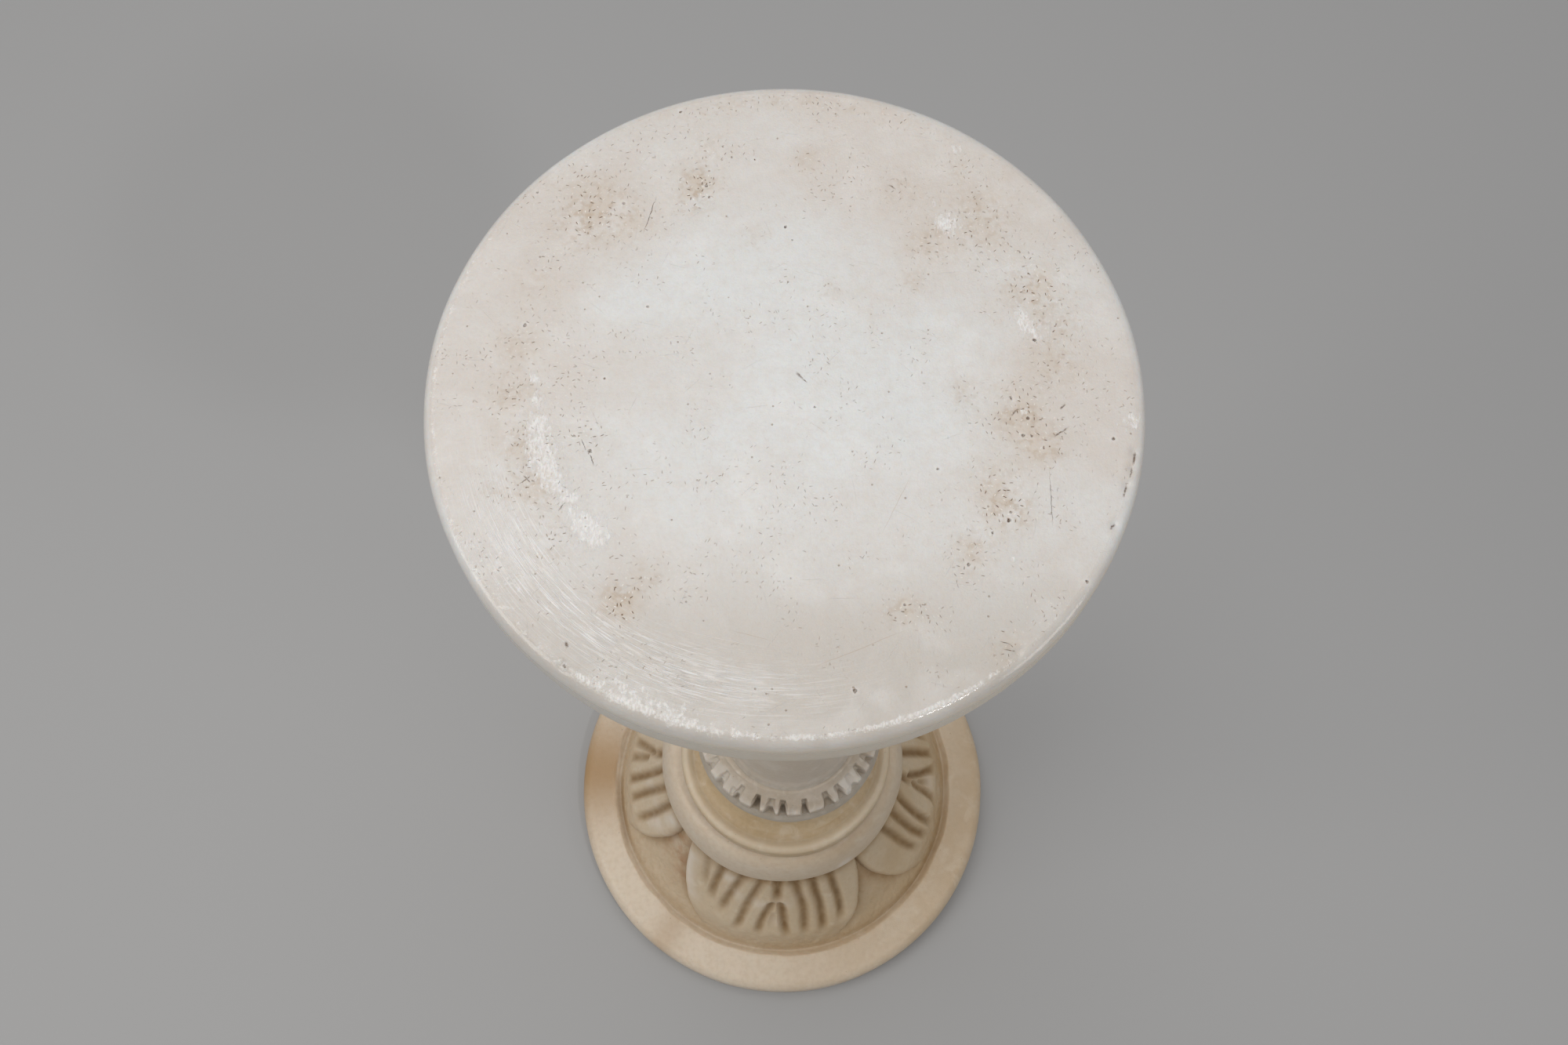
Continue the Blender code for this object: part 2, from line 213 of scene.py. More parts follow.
# Marks on the slab's top: place (to the right, to the back), radius, strength
STAINS = (
    (-34, 89, 7, 1), (-37, 80, 5, 0.9), (-74, 79, 15, 0.55), (-60, 70, 8, 0.4), (-78, 68, 10, 0.5),
    (-101, -2, 8, 0.6), (-100, 18, 8, 0.45), (-88, -39, 9, 0.7), (-96, -22, 9, 0.6), (-58, -82, 7, 0.9),
    (-48, -74, 6, 0.5), (75, 73, 14, 0.6), (54, 62, 9, 0.45), (66, 96, 6, 0.4), (95, 42, 11, 0.8),
    (103, 26, 9, 0.5), (87, -10, 10, 0.75), (95, -22, 8, 0.75), (101, 9, 9, 0.5), (77, -38, 9, 0.6),
    (82, -47, 8, 0.8), (67, -62, 8, 0.6), (42, -85, 6, 0.7), (-30, 104, 7, 0.4), (45, 86, 8, 0.4),
    (17, 42, 4, 0.5), (67, -1, 7, 0.4), (9, 100, 5, 0.5), (-12, 66, 5, 0.3), (48, 45, 5, 0.4),
    (-84, -60, 8, 0.5), (-104, -40, 8, 0.4), (-70, -20, 7, 0.35), (80, -100, 7, 0.5), (-95, 45, 9, 0.3),
)
WHITER = (
    (-65, 45, 26, 1), (50, 15, 30, 1), (-5, 5, 45, 1), (20, -60, 28, 1), (-35, 20, 30, 1),
    (-70, -75, 14, 1),
)
SCUFFS = (
    (-93, 4, 3, 1), (-92, -4, 3, 1), (-91, -13, 5, 1), (-90, -21, 6, 1.1), (-88, -29, 6, 1.1),
    (-84, -37, 5.5, 1), (-78, -44, 5, 0.9), (-72, -54, 7, 1.1), (-66, -58, 5, 0.9), (60, 72, 3, 0.9),
    (64, 70, 4.5, 1.1), (67, 104, 3, 0.8), (57, 80, 3, 0.6), (92, 27, 4.5, 1.1), (89, 32, 3, 0.9),
    (95, 21, 2.5, 0.8), (89, -8, 1.6, 1.2), (95, 2, 2.5, 0.6), (128, -12, 4, 0.9), (-112, -62, 4, 0.7),
    (2, -30, 1, 1), (-9, -47, 0.9, 1), (-28, -25, 1, 0.8), (82, -66, 1.6, 0.8),
)
# Scratches and cracks: start and end, width
DARK_SCRATCHES = (
    (-50, 83, -55, 65, 0.35), (96.7, -29, 96.9, -55, 0.3), (105, -14, 99, -18.5, 0.8),
    (84, -10, 86.5, -7, 1), (4.6, 6.8, 6.8, 4.4, 1.3), (6.6, 4.6, 8.4, 3, 0.6),
    (-96, -38, -92, -34.5, 0.5), (-95, -34.5, -92, -37.5, 0.5), (-79, -45, -81.5, -48.6, 0.5),
    (-71, -26, -69.3, -31, 0.5), (-74.5, -20, -72.5, -25, 0.35), (128.6, -24, 127.8, -29, 1.3),
    (127.4, -30, 125.8, -34, 1), (124.8, -37, 123.2, -42, 1.2), (119.4, -52, 117.6, -54, 1.1),
    (102, -7, 104, -5, 0.9), (-76, -97.6, -75.6, -98.6, 1.6), (-76.4, -105.4, -76.2, -106, 1.3),
    (40, 88, 43, 86, 0.8), (80, -97, 76, -96, 0.4), (82, -99.5, 77, -99, 0.4),
)
# Open pits: place, radius
PITS = (
    (90, -11, 0.8), (88, -18, 0.8), (91, -18, 0.6), (82, -48, 0.6), (81, -51, 0.8), (75, -56, 0.6),
    (66, -68, 0.7), (43, -83, 0.6), (25, -114, 0.8), (108, -74, 0.7), (56, -31, 0.6), (84, -3, 0.5),
    (121, -19, 0.7), (11, -7, 0.5), (94, 21, 0.8), (-12, 99, 0.5), (-63, 79, 0.6), (-97, 84, 0.6),
    (-31, 87, 0.7), (-30, 82, 0.6), (-42, 121, 0.6), (0, 69, 0.6), (-52, 34, 0.6), (-98, 26, 0.8),
    (-67, 4, 0.5), (-71, -25, 0.7), (-77, -19, 0.5),
)
FAINT_SCRATCHES = (
    (47, -32, 34, -59, 0.25), (7.7, -107, 46, -91, 0.35), (-20, -92, -2, -97, 0.3),
)
LIGHT_SCRATCHES = (
    (-62, -91, -25, -103, 0.5), (-50, -97, -8, -110, 0.45), (-40, -92, -5, -99, 0.35),
    (-55, -103, -30, -114, 0.5), (-104, -55, -88, -80, 0.45), (-97, -52, -80, -76, 0.4),
    (-26, -114, 20, -116, 0.35), (-20, -107, 14, -109, 0.35), (-60, 98, -46, 88, 0.35),
    (28, 12, 35, 30, 0.22), (-36, -8, -30, -38, 0.2), (72, 60, 78, 48, 0.35),
)

# Light: name, place, height of the aim and size in metres, power in watts, colour
LIGHTS = (
    ("overhead", (-0.3, 0.6, 3.2), 0.5, 2.2, 26.0, "#FFFDFA"),
    ("left_window", (-2.0, -0.7, 2.3), 0.5, 1.5, 21.0, "#FFFCF7"),
    ("right_window", (0.86, -1.03, 2.35), 0.5, 0.16, 5.5, "#FFFFFF"),
    ("gloss_box", (-0.22, 0.36, 2.6), 0.5, 0.5, 2.0, "#FFFFFF"),
    ("slab_fill", (0.78, -0.46, 0.9), 0.87, 0.35, 0.9, "#FFF8EE"),
)
ROOM_LIGHT = 0.38
FLOOR_SIZE = 12.0  # metres
SMOOTH_ANGLE = 50.0  # degrees

# Camera: metres over the slab and in front of the axis, angles in degrees, lens and sensor in millimetres
CAMERA_OVER_SLAB = 0.5168
CAMERA_BEFORE_AXIS = 0.2363
CAMERA_YAW = 0.024
CAMERA_PITCH = 70.411
CAMERA_ROLL = 0.345
LENS = 35.0
SENSOR = 36.0
NEAR_CLIP = 0.02  # metres


# Turning


def line(start, end, step):
    """Points on a straight run, both ends included, no further apart than the step."""
    count = max(1, math.ceil(math.dist(start, end) / step))
    return [tuple(point) for point in np.linspace(start, end, count + 1)]


def arc(centre, radii, start, end, step):
    """Points on an elliptical arc from one angle to another, both ends included."""
    count = max(2, math.ceil(math.radians(abs(end - start)) * max(radii) / step))
    return [
        (centre[0] + radii[0] * math.cos(angle), centre[1] + radii[1] * math.sin(angle))
        for angle in np.radians(np.linspace(start, end, count + 1))
    ]


def joined(*runs):
    """One profile from several runs, with the point where two of them meet kept once."""
    profile = list(runs[0])
    for run in runs[1:]:
        profile += run[1:] if math.dist(profile[-1], run[0]) < TINY else run
    return profile


def softened(profile, passes):
    """A profile with its corners rounded, as wear leaves them."""
    points = np.array(profile)
    for _ in range(passes):
        points[1:-1] = 0.5 * points[1:-1] + 0.25 * (points[:-2] + points[2:])
    return [tuple(point) for point in points]


def turned(name, profile, columns):
    """A closed stone: one vertex is drawn out along the profile, and that line is swept round the axis."""
    bpy.ops.object.select_all(action="DESELECT")
    bpy.ops.mesh.primitive_plane_add(size=MM, location=(profile[0][0] * MM, 0.0, profile[0][1] * MM))
    stone = bpy.context.object
    stone.name = stone.data.name = name
    bpy.ops.object.mode_set(mode="EDIT")
    bpy.ops.mesh.select_all(action="SELECT")
    bpy.ops.mesh.merge(type="CENTER")
    for before, after in zip(profile, profile[1:]):
        step = ((after[0] - before[0]) * MM, 0.0, (after[1] - before[1]) * MM)
        bpy.ops.mesh.extrude_vertices_move(TRANSFORM_OT_translate={"value": step})
    bpy.ops.object.mode_set(mode="OBJECT")
    bpy.ops.object.transform_apply(location=True, rotation=True, scale=True)
    bpy.ops.object.modifier_add(type="SCREW")
    lathe = stone.modifiers[-1]
    lathe.angle = math.tau
    lathe.steps = lathe.render_steps = columns
    lathe.use_merge_vertices = True
    lathe.merge_threshold = TINY
    bpy.ops.object.modifier_apply(modifier=lathe.name)
    bpy.ops.object.mode_set(mode="EDIT")
    bpy.ops.mesh.select_all(action="SELECT")
    bpy.ops.mesh.remove_doubles(threshold=TINY)
    bpy.ops.mesh.normals_make_consistent(inside=False)
    bpy.ops.object.mode_set(mode="OBJECT")
    return stone


# Carving


def points_at(azimuth, radius, height):
    """Points in millimetres, one to a row."""
    turn = np.radians(azimuth)
    return np.stack([radius * np.sin(turn), -radius * np.cos(turn), height], axis=1)


def measured(stone):
    """Azimuth, radius and height of each of a stone's points, and the points themselves."""
    flat = np.empty(len(stone.data.vertices) * 3, np.float32)
    stone.data.vertices.foreach_get("co", flat)
    x, y, height = flat.reshape(-1, 3).T.astype(float) / MM
    azimuth, radius = np.degrees(np.arctan2(x, -y)), np.hypot(x, y)
    return azimuth, radius, height, points_at(azimuth, radius, height)


def set_polar(stone, azimuth, radius, height):
    """Moves a stone's points."""
    points = points_at(azimuth, radius, height) * MM
    stone.data.vertices.foreach_set("co", points.astype(np.float32).ravel())
    stone.data.update()


def paint(stone, name, amount):
    """Keeps a number from 0 to 1 for each point, for the finish to read."""
    layer = stone.data.attributes.new(name, "FLOAT", "POINT")
    layer.data.foreach_set("value", np.clip(amount, 0.0, 1.0).astype(np.float32))


def smooth(share):
    """Soft step from 0 to 1."""
    share = np.clip(share, 0.0, 1.0)
    return share * share * (3.0 - 2.0 * share)


def near(value, middle, width):
    """1 at the middle, falling off like a bell over the width."""
    return np.exp(-(((value - middle) / width) ** 2))


def turn_from(azimuth, middle):
    """Signed angle from an azimuth to each point's, from -180 to 180 degrees."""
    return (azimuth - middle + 180.0) % 360.0 - 180.0


def facing(azimuth, middle, width):
    """1 at an azimuth, falling off like a bell over that many degrees to both sides."""
    return near(turn_from(azimuth, middle), 0.0, width)


def lumps(points, size, seed, waves=20):
    """Smooth random numbers, about -1 to 1, that change over that size."""
    rng = np.random.default_rng(seed)
    ways = rng.normal(size=(3, waves))
    ways /= np.linalg.norm(ways, axis=0)
    lengths = 2.0 * size * rng.uniform(0.7, 1.5, waves)
    phases = rng.uniform(0.0, math.tau, waves)
    total = np.sin(points @ (ways / lengths) * math.tau + phases).sum(axis=1)
    return np.clip(total / math.sqrt(waves), -1.0, 1.0)


def wear(points, amount, size, seed):
    """Uneven depth, from none to twice the amount, that changes over that size."""
    return amount + amount * lumps(points, size, seed)


def spots(points, places):
    """Sum of round spots on the slab's top."""
    total = np.zeros(len(points))
    for x, y, radius, strength in places:
        total += strength * np.exp(-((points[:, 0] - x) ** 2 + (points[:, 1] - y) ** 2) / radius**2)
    return total


def bell_share(radius, height):
    """Share of the way down the bell, from the torus (0) to the rim (1)."""
    return ((radius - NECK_RADIUS) * BELL_RUN + (BELL_TOP - height) * BELL_RISE) / BELL_LENGTH**2


def vein_cut(angle, share, vein):
    """Depth share of one vein: 1 on its line, rising to rounded ribs on both sides."""
    root, middle, tip, start, end, strength = vein
    along = (share - start) / (end - start)
    line_angle = root * (1 - along) * (1 - 2 * along) + 4 * middle * along * (1 - along)
    line_angle += tip * along * (2 * along - 1)
    wide, narrow = VEIN_HALF_WIDTHS
    away = np.abs(angle - line_angle) / (wide + (narrow - wide) * share)
    taper = smooth((end - share) / VEIN_END_FADE)
    if start > 0:
        taper = taper * smooth((share - start) / VEIN_START_FADE)
    return strength * taper * smooth(1.0 - away)


def leaf_carving(azimuth, share, leaf):
    """Of one leaf: how much it stands out, how deep its veins cut, its crown and the crease beside it."""
    trunk, left, right, veins = leaf
    angle = turn_from(azimuth, trunk)
    reach = np.clip(share / LEAF_END, 0.0, 1.0)
    half = np.where(angle < 0, left, right) * np.sqrt(1.0 - reach**2)
    inside = np.clip((half - np.abs(angle)) / LEAF_MARGIN, 0.0, 1.0)
    showing = smooth((1.0 - share) / LEAF_DIP)
    body = np.sqrt(1.0 - (1.0 - inside) ** 2) * showing
    cut = np.max([vein_cut(angle, share, vein) for vein in veins], axis=0)
    crown = np.clip(1.0 - (angle / np.maximum(half, 1.0)) ** 2, 0.0, 1.0) * np.sin(math.pi * reach)
    outside = np.abs(angle) - half
    beside = np.where(outside > 0.0, near(outside, 0.0, CREASE_WIDTH), 0.0) * showing
    return body, cut * body, crown, beside


def around_bell(azimuth, share, places, wide, tall):
    """Sum of soft spots on the foot, each at an azimuth and a share down the bell."""
    total = np.zeros(len(azimuth))
    for middle, down, strength in places:
        total += strength * facing(azimuth, middle, wide) * near(share, down, tall)
    return total


def leaf_foot():
    """Foot of one stone: flat rim, sunk ground, four drooping leaves, and the torus over them."""
    rim_edge = RIM_HEIGHT - RIM_FALL
    shoulder = TORUS_RADIUS - TORUS_SHOULDER
    bell = []
    for share in np.linspace(0.0, 1.0, BELL_ROWS):
        sag = BELL_HOLLOW * math.sin(math.pi * share)
        radius = NECK_RADIUS + BELL_RUN * share - sag * BELL_RISE / BELL_LENGTH
        bell.append((radius, BELL_TOP - BELL_RISE * share - sag * BELL_RUN / BELL_LENGTH))
    step = []
    for share in np.linspace(0.0, 1.0, STEP_ROWS)[1:]:
        radius = GROUND_RADIUS + (RIM_INNER + RIM_LEAN - GROUND_RADIUS) * share
        step.append((radius, GROUND_HEIGHT + GROUND_RAMP + (RIM_STEP - GROUND_RAMP) * smooth(share)))
    profile = joined(
        [(0.0, FOOT_TOP)],
        line((40.0, FOOT_TOP), (shoulder, FOOT_TOP), 25.0),
        arc((shoulder, TORUS_MIDDLE), (TORUS_SHOULDER, FOOT_TOP - TORUS_MIDDLE), 90, 0, 4.0),
        arc((NECK_RADIUS, TORUS_MIDDLE), (TORUS_OVERHANG, TORUS_LOWER), 0, -90, 4.0),
        bell,
        step,
        line(step[-1], (FOOT_RADIUS - RIM_ROUND, rim_edge), 2.6),
        arc((FOOT_RADIUS - RIM_ROUND, rim_edge - RIM_ROUND), (RIM_ROUND, RIM_ROUND), 90, 0, 2.2),
        line((FOOT_RADIUS, rim_edge - RIM_ROUND), (FOOT_RADIUS, FOOT_CHAMFER), 4.0),
        [(FOOT_RADIUS - FOOT_CHAMFER, FOOT_BASE), (80.0, FOOT_BASE), (0.0, FOOT_BASE)],
    )
    stone = turned("leaf_foot_stone", profile, FOOT_COLUMNS)
    azimuth, radius, height, points = measured(stone)
    share = bell_share(radius, height)
    on_bell = (share > -0.002) & (share < 1.002) & (radius < GROUND_RADIUS + SLACK)
    on_bell &= (height < BELL_TOP + SLACK) & (height > GROUND_HEIGHT - SLACK)
    wandered = azimuth + VEIN_WANDER * lumps(points, 26.0, 11)
    down = np.clip(share, 0.0, 1.0)
    carved = [leaf_carving(wandered, down, leaf) for leaf in LEAVES]
    body, cut, crown, beside = np.max(carved, axis=0)
    tooling = 0.35 * lumps(points, 4.5, 21) + 0.2 * lumps(points, 2.0, 22)
    lift = body * (LEAF_RISE + LEAF_CROWN * crown) - VEIN_DEPTH * cut * (1.0 - 0.3 * down)
    lift += tooling * (1.0 - 0.75 * body) * smooth(share / 0.08) * smooth((1.0 - share) / 0.06)
    lift -= CREASE_DEPTH * beside * (1.0 - body)
    lift = np.where(on_bell, lift, 0.0)
    radius += lift * BELL_RISE / BELL_LENGTH
    height += lift * BELL_RUN / BELL_LENGTH
    height += GROUND_RAMP * smooth((down - RAMP_START) / (1.0 - RAMP_START)) * on_bell
    # Unevenness of hand work, slight chips along the rim, and the wander of its inner border
    outer = smooth((radius - FOOT_RADIUS + 12.0) / 10.0)
    chipped = smooth(lumps(points, 7.0, 31) - 0.9) * near(height, rim_edge - 2.0, 7.0) * outer
    radius -= outer * wear(points, 0.25, 45.0, 32) + RIM_CHIP * chipped
    border = near(radius, RIM_INNER, 5.0)
    border *= (height > GROUND_HEIGHT - SLACK) & (height < RIM_HEIGHT + SLACK)
    radius += border * BORDER_WANDER * lumps(points, 16.0, 33) * ~on_bell
    height -= border * wear(points, 0.25, 5.0, 34) * (height > RIM_HEIGHT - 2.0)
    torus = near(height, TORUS_MIDDLE, 30.0) * (radius > 70.0) * ~on_bell
    radius -= torus * wear(points, 0.3, 30.0, 35) * smooth((FOOT_TOP - height) / 2.0)
    set_polar(stone, azimuth, radius, np.maximum(height, FOOT_BASE))

    # Painted shade: under the torus (root), in the corner at the rim's inner border (step) and by the rim
    # (outer_zone); dirt and painted shade in the veins and creases (groove)
    root = near(share, 0.0, 0.08) * on_bell
    step = smooth((RIM_INNER + 2.0 - radius) / 4.0) * smooth((share - 0.94) / 0.05)
    step *= (height < RIM_HEIGHT) * (
        0.10 + 0.5 * facing(azimuth, -80.0, 14.0) + 0.25 * facing(azimuth, 60.0, 25.0)
    )
    groove = np.where(on_bell, cut**1.35 + 0.6 * beside * (1.0 - body), 0.0)
    outer_zone = near(share, 0.97, 0.07) * on_bell
    paint(stone, "hollow", groove + 0.6 * root + step + 0.25 * outer_zone)
    paint(stone, "ground", on_bell * (1.0 - body) * smooth((1.02 - share) / 0.06))
    paint(stone, "leaf", on_bell * body)
    # Worn paler places, with a painted highlight on the torus and painted light on the front leaf's left
    # margin
    paint(stone, "rubbed_and_highlit", around_bell(azimuth, share, RUBBED_AND_HIGHLIT, 3.5, 0.06) * (radius > NECK_RADIUS - 6.0))
    paint(stone, "reddened", around_bell(azimuth, share, REDDENED, 6.0, 0.12) * on_bell * (1.0 - body))
    on_rim = smooth((radius - RIM_INNER + 1.0) / 3.0)
    paint(stone, "honey", on_rim * (facing(azimuth, -94.0, 15.0) + 0.4 * facing(azimuth, -37.0, 5.0)))
    # Painted light: the left side of the foot paler, where the light falls, partly the stone's own paler
    # tone; the front of the rim paler too
    left_side = smooth(0.5 - 0.5 * np.cos(np.radians(turn_from(azimuth, 90.0))))
    paint(stone, "pale_and_lit", 0.7 * left_side + 0.35 * facing(azimuth, -10.0, 45.0) * on_rim)
    return stone


def scotia_drum():
    """Turned drum: groove over the torus, rounded lip, dish and scotia under the collar."""
    foot = LIP_RADIUS - 2.0 * LIP_PROUD
    wall = LIP_RADIUS - LIP_PROUD
    throat = DRUM_TOP_RADIUS - SCOTIA_DEPTH
    throat_height = DRUM_TOP - DRUM_TOP_BAND - SCOTIA_FLARE
    dish_radius = LIP_RADIUS - 2.0 * LIP_ROUND
    dish = DRUM_BASE + LIP_HEIGHT - SCOTIA_DISH
    lip = DRUM_BASE + LIP_HEIGHT - LIP_ROUND
    groove_foot = (foot - GROOVE_DEPTH, DRUM_BASE + GROOVE_HEIGHT / 2)
    profile = joined(
        [(0.0, DRUM_TOP), (30.0, DRUM_TOP)],
        line((45.0, DRUM_TOP), (DRUM_TOP_RADIUS, DRUM_TOP), 4.0),
        arc((DRUM_TOP_RADIUS, throat_height), (SCOTIA_DEPTH, SCOTIA_FLARE), 90, 180, 1.6),
        arc((dish_radius, throat_height), (dish_radius - throat, throat_height - dish), 180, 270, 1.6),
        arc((LIP_RADIUS - LIP_ROUND, lip), (LIP_ROUND, LIP_ROUND), 120, 0, 0.9),
        line((LIP_RADIUS, lip), (wall, DRUM_BASE + GROOVE_HEIGHT + 1.0), 2.5),
        line((wall, DRUM_BASE + GROOVE_HEIGHT), groove_foot, 0.8),
        line(groove_foot, (foot - GROOVE_DEPTH, DRUM_BASE), 1.2),
        [(40.0, DRUM_BASE), (0.0, DRUM_BASE)],
    )
    stone = turned("scotia_drum_stone", softened(profile, 1), DRUM_COLUMNS)
    azimuth, radius, height, points = measured(stone)
    free = smooth((height - DRUM_BASE) / 4.0) * smooth((DRUM_TOP - height) / 3.0) * (radius > 40.0)
    set_polar(stone, azimuth, radius - free * wear(points, 0.2, 25.0, 42), height)
    # Painted shade in the groove, in the throat under the collar and at the dish's edge
    groove = smooth((DRUM_BASE + GROOVE_HEIGHT + 1.5 - height) / 2.0) * smooth((wall + 0.4 - radius) / 1.5)
    throat_shade = near(height, DRUM_TOP - 8.0, 12.0) * (height > dish)
    dish_shade = near(radius, dish_radius - 2.0, 3.0) * near(height, dish, 3.0)
    paint(stone, "hollow", 0.9 * groove + 0.45 * throat_shade + 0.2 * dish_shade)
    # Painted highlight along the crest of the lip
    paint(stone, "crest", near(height, lip + LIP_ROUND, 2.5) * (radius > dish_radius - 1.0))
    in_dish = near(radius, 59.0, 9.0) * (height < lip + LIP_ROUND)
    paint(stone, "gold", in_dish * (facing(azimuth, 32.0, 14.0) + 0.6 * facing(azimuth, -16.0, 16.0)))
    return stone


def notched_collar():
    """Ring round the foot of the shaft: sloping top, hand-cut teeth, and a smooth bead below them."""
    teeth = BEAD_RADIUS - BEAD_PROUD
    ledge = COLLAR_BASE + BEAD_HEIGHT + TOOTH_LEDGE
    crown = ledge + TOOTH_HEIGHT
    bead = BEAD_HEIGHT / 2
    profile = joined(
        [(0.0, COLLAR_TOP), (35.0, COLLAR_TOP)],
        line((46.0, COLLAR_TOP), (COLLAR_TOP_RADIUS, COLLAR_TOP), 2.3),
        line((COLLAR_TOP_RADIUS, COLLAR_TOP), (teeth, crown), 0.9),
        line((teeth, crown), (teeth, ledge - 0.6), 1.1),
        arc((BEAD_RADIUS - bead, COLLAR_BASE + bead), (bead, bead), 90, -90, 1.2),
        [(DRUM_TOP_RADIUS - COLLAR_INSET, COLLAR_BASE), (30.0, COLLAR_BASE), (0.0, COLLAR_BASE)],
    )
    stone = turned("notched_collar_stone", softened(profile, 1), COLLAR_COLUMNS)
    azimuth, radius, height, points = measured(stone)
    first, last = NOTCHES_IN_FRONT[0][0] + 360.0, NOTCHES_IN_FRONT[-1][0]
    hidden = NOTCHES - len(NOTCHES_IN_FRONT)
    rng = np.random.default_rng(5)
    notches = list(NOTCHES_IN_FRONT)
    for i in range(hidden):
        middle = last + (first - last) * (i + 1) / (hidden + 1) + rng.uniform(-1.5, 1.5)
        notches.append((middle, rng.uniform(0.7, 1.0)))
    above = smooth((height - (ledge - 1.5)) / 2.5)
    outward = smooth((radius - COLLAR_TOP_RADIUS - COLLAR_SHELF + 1.5) / 3.0)
    opening = 0.6 + 0.5 * smooth((radius - COLLAR_TOP_RADIUS) / 14.0)
    wander = 0.5 * lumps(points, 5.0, 51)
    cut = np.zeros(len(azimuth))
    for middle, deep in notches:
        width = NOTCH_HALF_WIDTH * rng.uniform(0.8, 1.2) * opening
        cut = np.maximum(cut, deep * smooth(1.3 - np.abs(turn_from(azimuth, middle) + wander) / width))
    depth = cut * above * outward * NOTCH_DEPTH * smooth((radius - COLLAR_TOP_RADIUS) / COLLAR_SHELF)
    radius = radius - np.minimum(depth, np.maximum(radius - COLLAR_TOP_RADIUS - COLLAR_SHELF, 0.0))
    worn = smooth(lumps(points, 4.0, 52) - 0.2) * near(height, crown, 3.5) * (radius > teeth - 5.0)
    worn *= 1.0 + 1.5 * facing(azimuth, -48.0, 18.0)
    uneven = wear(points, 0.2, 18.0, 53) * (radius > COLLAR_TOP_RADIUS + 1.0)
    uneven *= smooth((height - COLLAR_BASE) / 3.0)
    height = height - TOOTH_WEAR * worn - 0.5 * uneven * smooth((height - crown + 2.0) / 2.0)
    set_polar(stone, azimuth, radius - uneven - 0.5 * worn, height)
    # Painted shade in the notches and under the teeth
    under_teeth = near(height, ledge, 1.6) * (radius < BEAD_RADIUS)
    paint(stone, "hollow", 0.6 * cut**2 * above * outward + 0.3 * under_teeth)
    paint(stone, "crest", (1.0 - cut) * near(height, crown, 2.0) * outward)
    # Bead under the teeth darker and greyer: a greyer tone, and painted shade under the teeth
    paint(stone, "bead", smooth((ledge - 1.0 - height) / 2.0))
    whitish = facing(azimuth, 44.0, 12.0) + 0.5 * facing(azimuth, -55.0, 22.0)
    paint(stone, "white", whitish * above * outward * (1.0 - 0.7 * cut))
    return stone


def shaft():
    """Plain shaft with a slight taper, a flare at its foot, a neck ring and a flared head."""
    body = SHAFT_FOOT_RADIUS - APOPHYGE
    neck = body - SHAFT_TAPER
    head_foot = SHAFT_TOP - HEAD_HEIGHT
    ring = NECK_RING_HEIGHT / 2
    ring_middle = head_foot - ring
    low, high = SHAFT_BASE + APOPHYGE_HEIGHT, head_foot - NECK_RING_HEIGHT
    drum = []
    for share in np.linspace(0.0, 1.0, SHAFT_ROWS):
        swell = SHAFT_SWELL * math.sin(math.pi * share)
        drum.append((neck + SHAFT_TAPER * share + swell, high + (low - high) * share))
    profile = joined(
        [(0.0, SHAFT_TOP), (40.0, SHAFT_TOP)],
        line((60.0, SHAFT_TOP), (HEAD_RADIUS, SHAFT_TOP), 9.0),
        line((HEAD_RADIUS, SHAFT_TOP), (HEAD_RADIUS, SHAFT_TOP - HEAD_FILLET), 1.5),
        arc((HEAD_RADIUS, head_foot), (HEAD_RADIUS - neck, HEAD_HEIGHT - HEAD_FILLET), 100, 180, 2.0),
        arc((neck + NECK_RING_PROUD - ring, ring_middle), (ring, ring), 90, -90, 1.2),
        drum,
        arc((SHAFT_FOOT_RADIUS, low), (APOPHYGE, APOPHYGE_HEIGHT), 180, 270, 1.2),
        [(30.0, SHAFT_BASE), (0.0, SHAFT_BASE)],
    )
    stone = turned("shaft_stone", softened(profile, 2), SHAFT_COLUMNS)
    azimuth, radius, height, points = measured(stone)
    free = smooth((height - SHAFT_BASE) / 10.0) * smooth((SHAFT_TOP - height) / 3.0) * (radius > 30.0)
    set_polar(stone, azimuth, radius - free * wear(points, 0.25, 60.0, 61), height)
    # Painted shade beside the neck ring and at the shaft's foot
    ring_shade = near(height, ring_middle - ring, 2.5) + near(height, ring_middle + ring, 2.5)
    paint(stone, "hollow", 0.6 * ring_shade + 0.5 * near(height, SHAFT_BASE, 4.0))
    return stone


